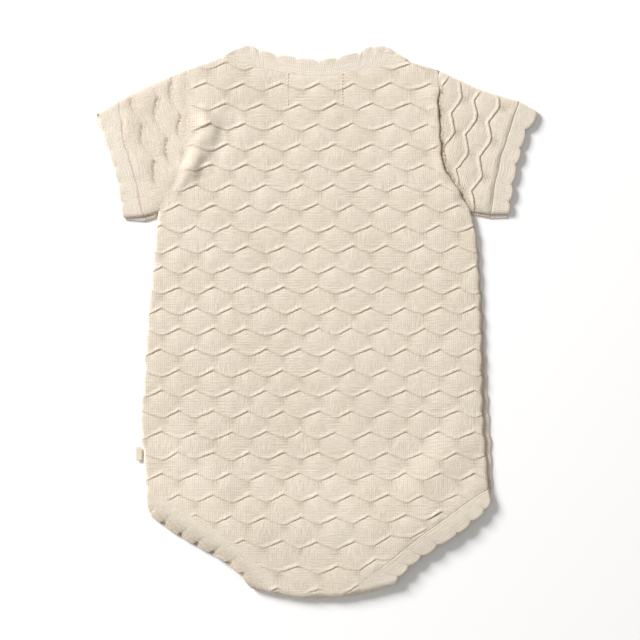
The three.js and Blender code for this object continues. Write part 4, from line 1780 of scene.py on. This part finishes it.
@dataclass
class StitchRow:
    """Rows of sewn stitches, each a small bead of thread that sinks into the cloth at both ends."""

    name: str
    thread: bpy.types.Material
    lines: tuple[Array, ...]
    height: float  # of the cloth there, where it lies closest
    on_back: bool = True  # which lies loosely on the front
    pitch: float = 2.4
    length: float = 1.8
    wide: float = 0.5
    turn: float = 0.0  # of each stitch from the line, in degrees

    def build(self) -> bpy.types.Object:
        """Builds and dresses the stitches."""
        beads = bmesh.new()
        size = Vector((self.length / 2, self.wide / 2, self.wide / 2)) * MM
        for line in self.lines:
            count = max(int(travelled(line)[-1] / self.pitch), 1)
            share = (np.arange(count) + 0.5) / count
            x, y = spaced(line, share).T
            z = self.height + (LAY.off_front(x, y) if self.on_back else 0 * x)
            run = spaced(line, share + 0.01) - spaced(line, share - 0.01)
            for place, (dx, dy) in zip(np.column_stack([x, y, z]), run):
                heading = Quaternion((0, 0, 1), math.atan2(dy, dx) + math.radians(self.turn))
                matrix = Matrix.LocRotScale(Vector(place) * MM, heading, size)
                bmesh.ops.create_icosphere(beads, subdivisions=1, radius=1, matrix=matrix)
        for face in beads.faces:
            face.smooth = True
        return place_piece(self.name, [to_mesh(beads, self.name)], self.thread)


# ------------------------------------------------------------------ surroundings


@dataclass
class Studio:
    """The pale ground, the window, the light of the room and the camera above the garment."""

    aim: tuple[float, float] = (2.9, 1.1)  # the middle of the view, in mm
    field_of_view: float = 464  # the width seen at the ground, in mm
    lens: float = 100
    sensor: float = 36
    ground: float = 4  # width of the ground, in m
    window: tuple[float, float, float] = (-2.82, 2.16, 1.84)  # in m
    window_wide: float = 1.3  # in m
    window_power: float = 236  # in W
    room: str = "fdfbf8"
    room_strength: float = 0.41

    def build_ground(self) -> None:
        """Lays the ground."""
        board = bmesh.new()
        bmesh.ops.create_grid(board, x_segments=1, y_segments=1, size=self.ground / 2)
        floor = put("floor", to_mesh(board, "floor"))
        floor.data.materials.append(PaintedBoard().make())

    def build_light(self) -> None:
        """Opens a square window that faces the garment, and lights the room round it."""
        data = bpy.data.lights.new("window", "AREA")
        data.size, data.energy = self.window_wide, self.window_power
        lamp = put("window", data)
        lamp.location = self.window
        lamp.rotation_mode = "QUATERNION"
        lamp.rotation_quaternion = lamp.location.to_track_quat("Z", "Y")
        world = bpy.data.worlds.new("room")
        bpy.context.scene.world = world
        world.use_nodes = True
        world.node_tree.nodes["Background"].inputs[0].default_value = linear(self.room)
        world.node_tree.nodes["Background"].inputs[1].default_value = self.room_strength

    def build_camera(self) -> None:
        """Hangs the camera."""
        data = bpy.data.cameras.new("camera")
        data.lens, data.sensor_width = self.lens, self.sensor
        camera = put("camera", data)
        up = self.field_of_view * self.lens / self.sensor
        camera.location = (self.aim[0] * MM, self.aim[1] * MM, up * MM)
        bpy.context.scene.camera = camera
        bpy.context.scene.view_settings.view_transform = "Standard"

    def build(self) -> None:
        """Builds all of it."""
        self.build_ground()
        self.build_light()
        self.build_camera()


def dress_studs() -> None:
    """Gives the press studs of the frame their finish."""
    resin = MouldedResin().make()
    for name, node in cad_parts.items():
        if name.startswith("stud_"):
            node.data.materials.clear()
            node.data.materials.append(resin)
            log.info("%s: carried over", name)


def label_and_leg_stitches(thread: bpy.types.Material) -> tuple[bpy.types.Object, ...]:
    """The stitches that hold a label inside the neck, and the double row at the right leg seam.

    Args:
        thread: the finish of the thread.

    Returns:
        The two pieces.
    """
    top = UPPER + CLOTH
    label = tuple(np.array([(x, 180), (x - 0.3, 168), (x, 156)], float) for x in (-20.3, 19.2))
    seam = smooth_line(LEG_SEAM[Layer.BACK, Side.RIGHT])
    leg = tuple(moved(seam, offset) for offset in (-0.95, 0.95))
    return (
        StitchRow("label_stitches", thread, label, top + 0.35, pitch=2.2, length=1.4, wide=0.7).build(),
        StitchRow("leg_stitches", thread, leg, top, pitch=2.1, length=1.5, wide=0.5).build(),
    )


def underarm_stitches(
    side: Side, knit: bpy.types.Material, thread: bpy.types.Material,
) -> bpy.types.Object:
    """The overlocked edge under a sleeve, in slanting stitches on its lower layer.

    Args:
        side: the side.
        knit: the sleeve's finish.
        thread: the finish of the thread.

    Returns:
        The stitches.
    """
    edge = Sleeve(side, knit).edges(Layer.FRONT)["underarm"] + (0, 1.1)
    name = f"underarm_stitches_{side.value}"
    return StitchRow(name, thread, (edge,), CLOTH, on_back=False, pitch=1.5, length=2.2, turn=70).build()


def main() -> None:
    """Builds the garment piece by piece."""
    logging.basicConfig(level=logging.INFO, format="%(message)s")
    Studio().build()
    body_knit = CottonKnit("plain knitted cotton").make()
    band_knit = CottonKnit("knitted cotton band", light="f3e9dc", deep="dfd1bc", ribbed=0.5).make()
    leg_knit = CottonKnit("knitted cotton leg band", light="f0e6d7", deep="dacbb6", ribbed=0.2).make()
    thread = SEWING_THREAD.make()
    BodyPanel(Layer.FRONT, body_knit).build()
    tab = SideTab(WOVEN_TAPE.make()).build()
    BodyPanel(Layer.BACK, body_knit).build((tab, *label_and_leg_stitches(thread)))
    for side in Side:
        Sleeve(side, body_knit).build((underarm_stitches(side, body_knit, thread),))
        build_band(BandKind.CUFF, None, side, band_knit)
        for layer in Layer:
            build_band(BandKind.LEG, layer, side, leg_knit)
    for layer in Layer:
        build_band(BandKind.NECK, layer, None, band_knit)
    dress_studs()


if __name__ == "__main__":
    main()
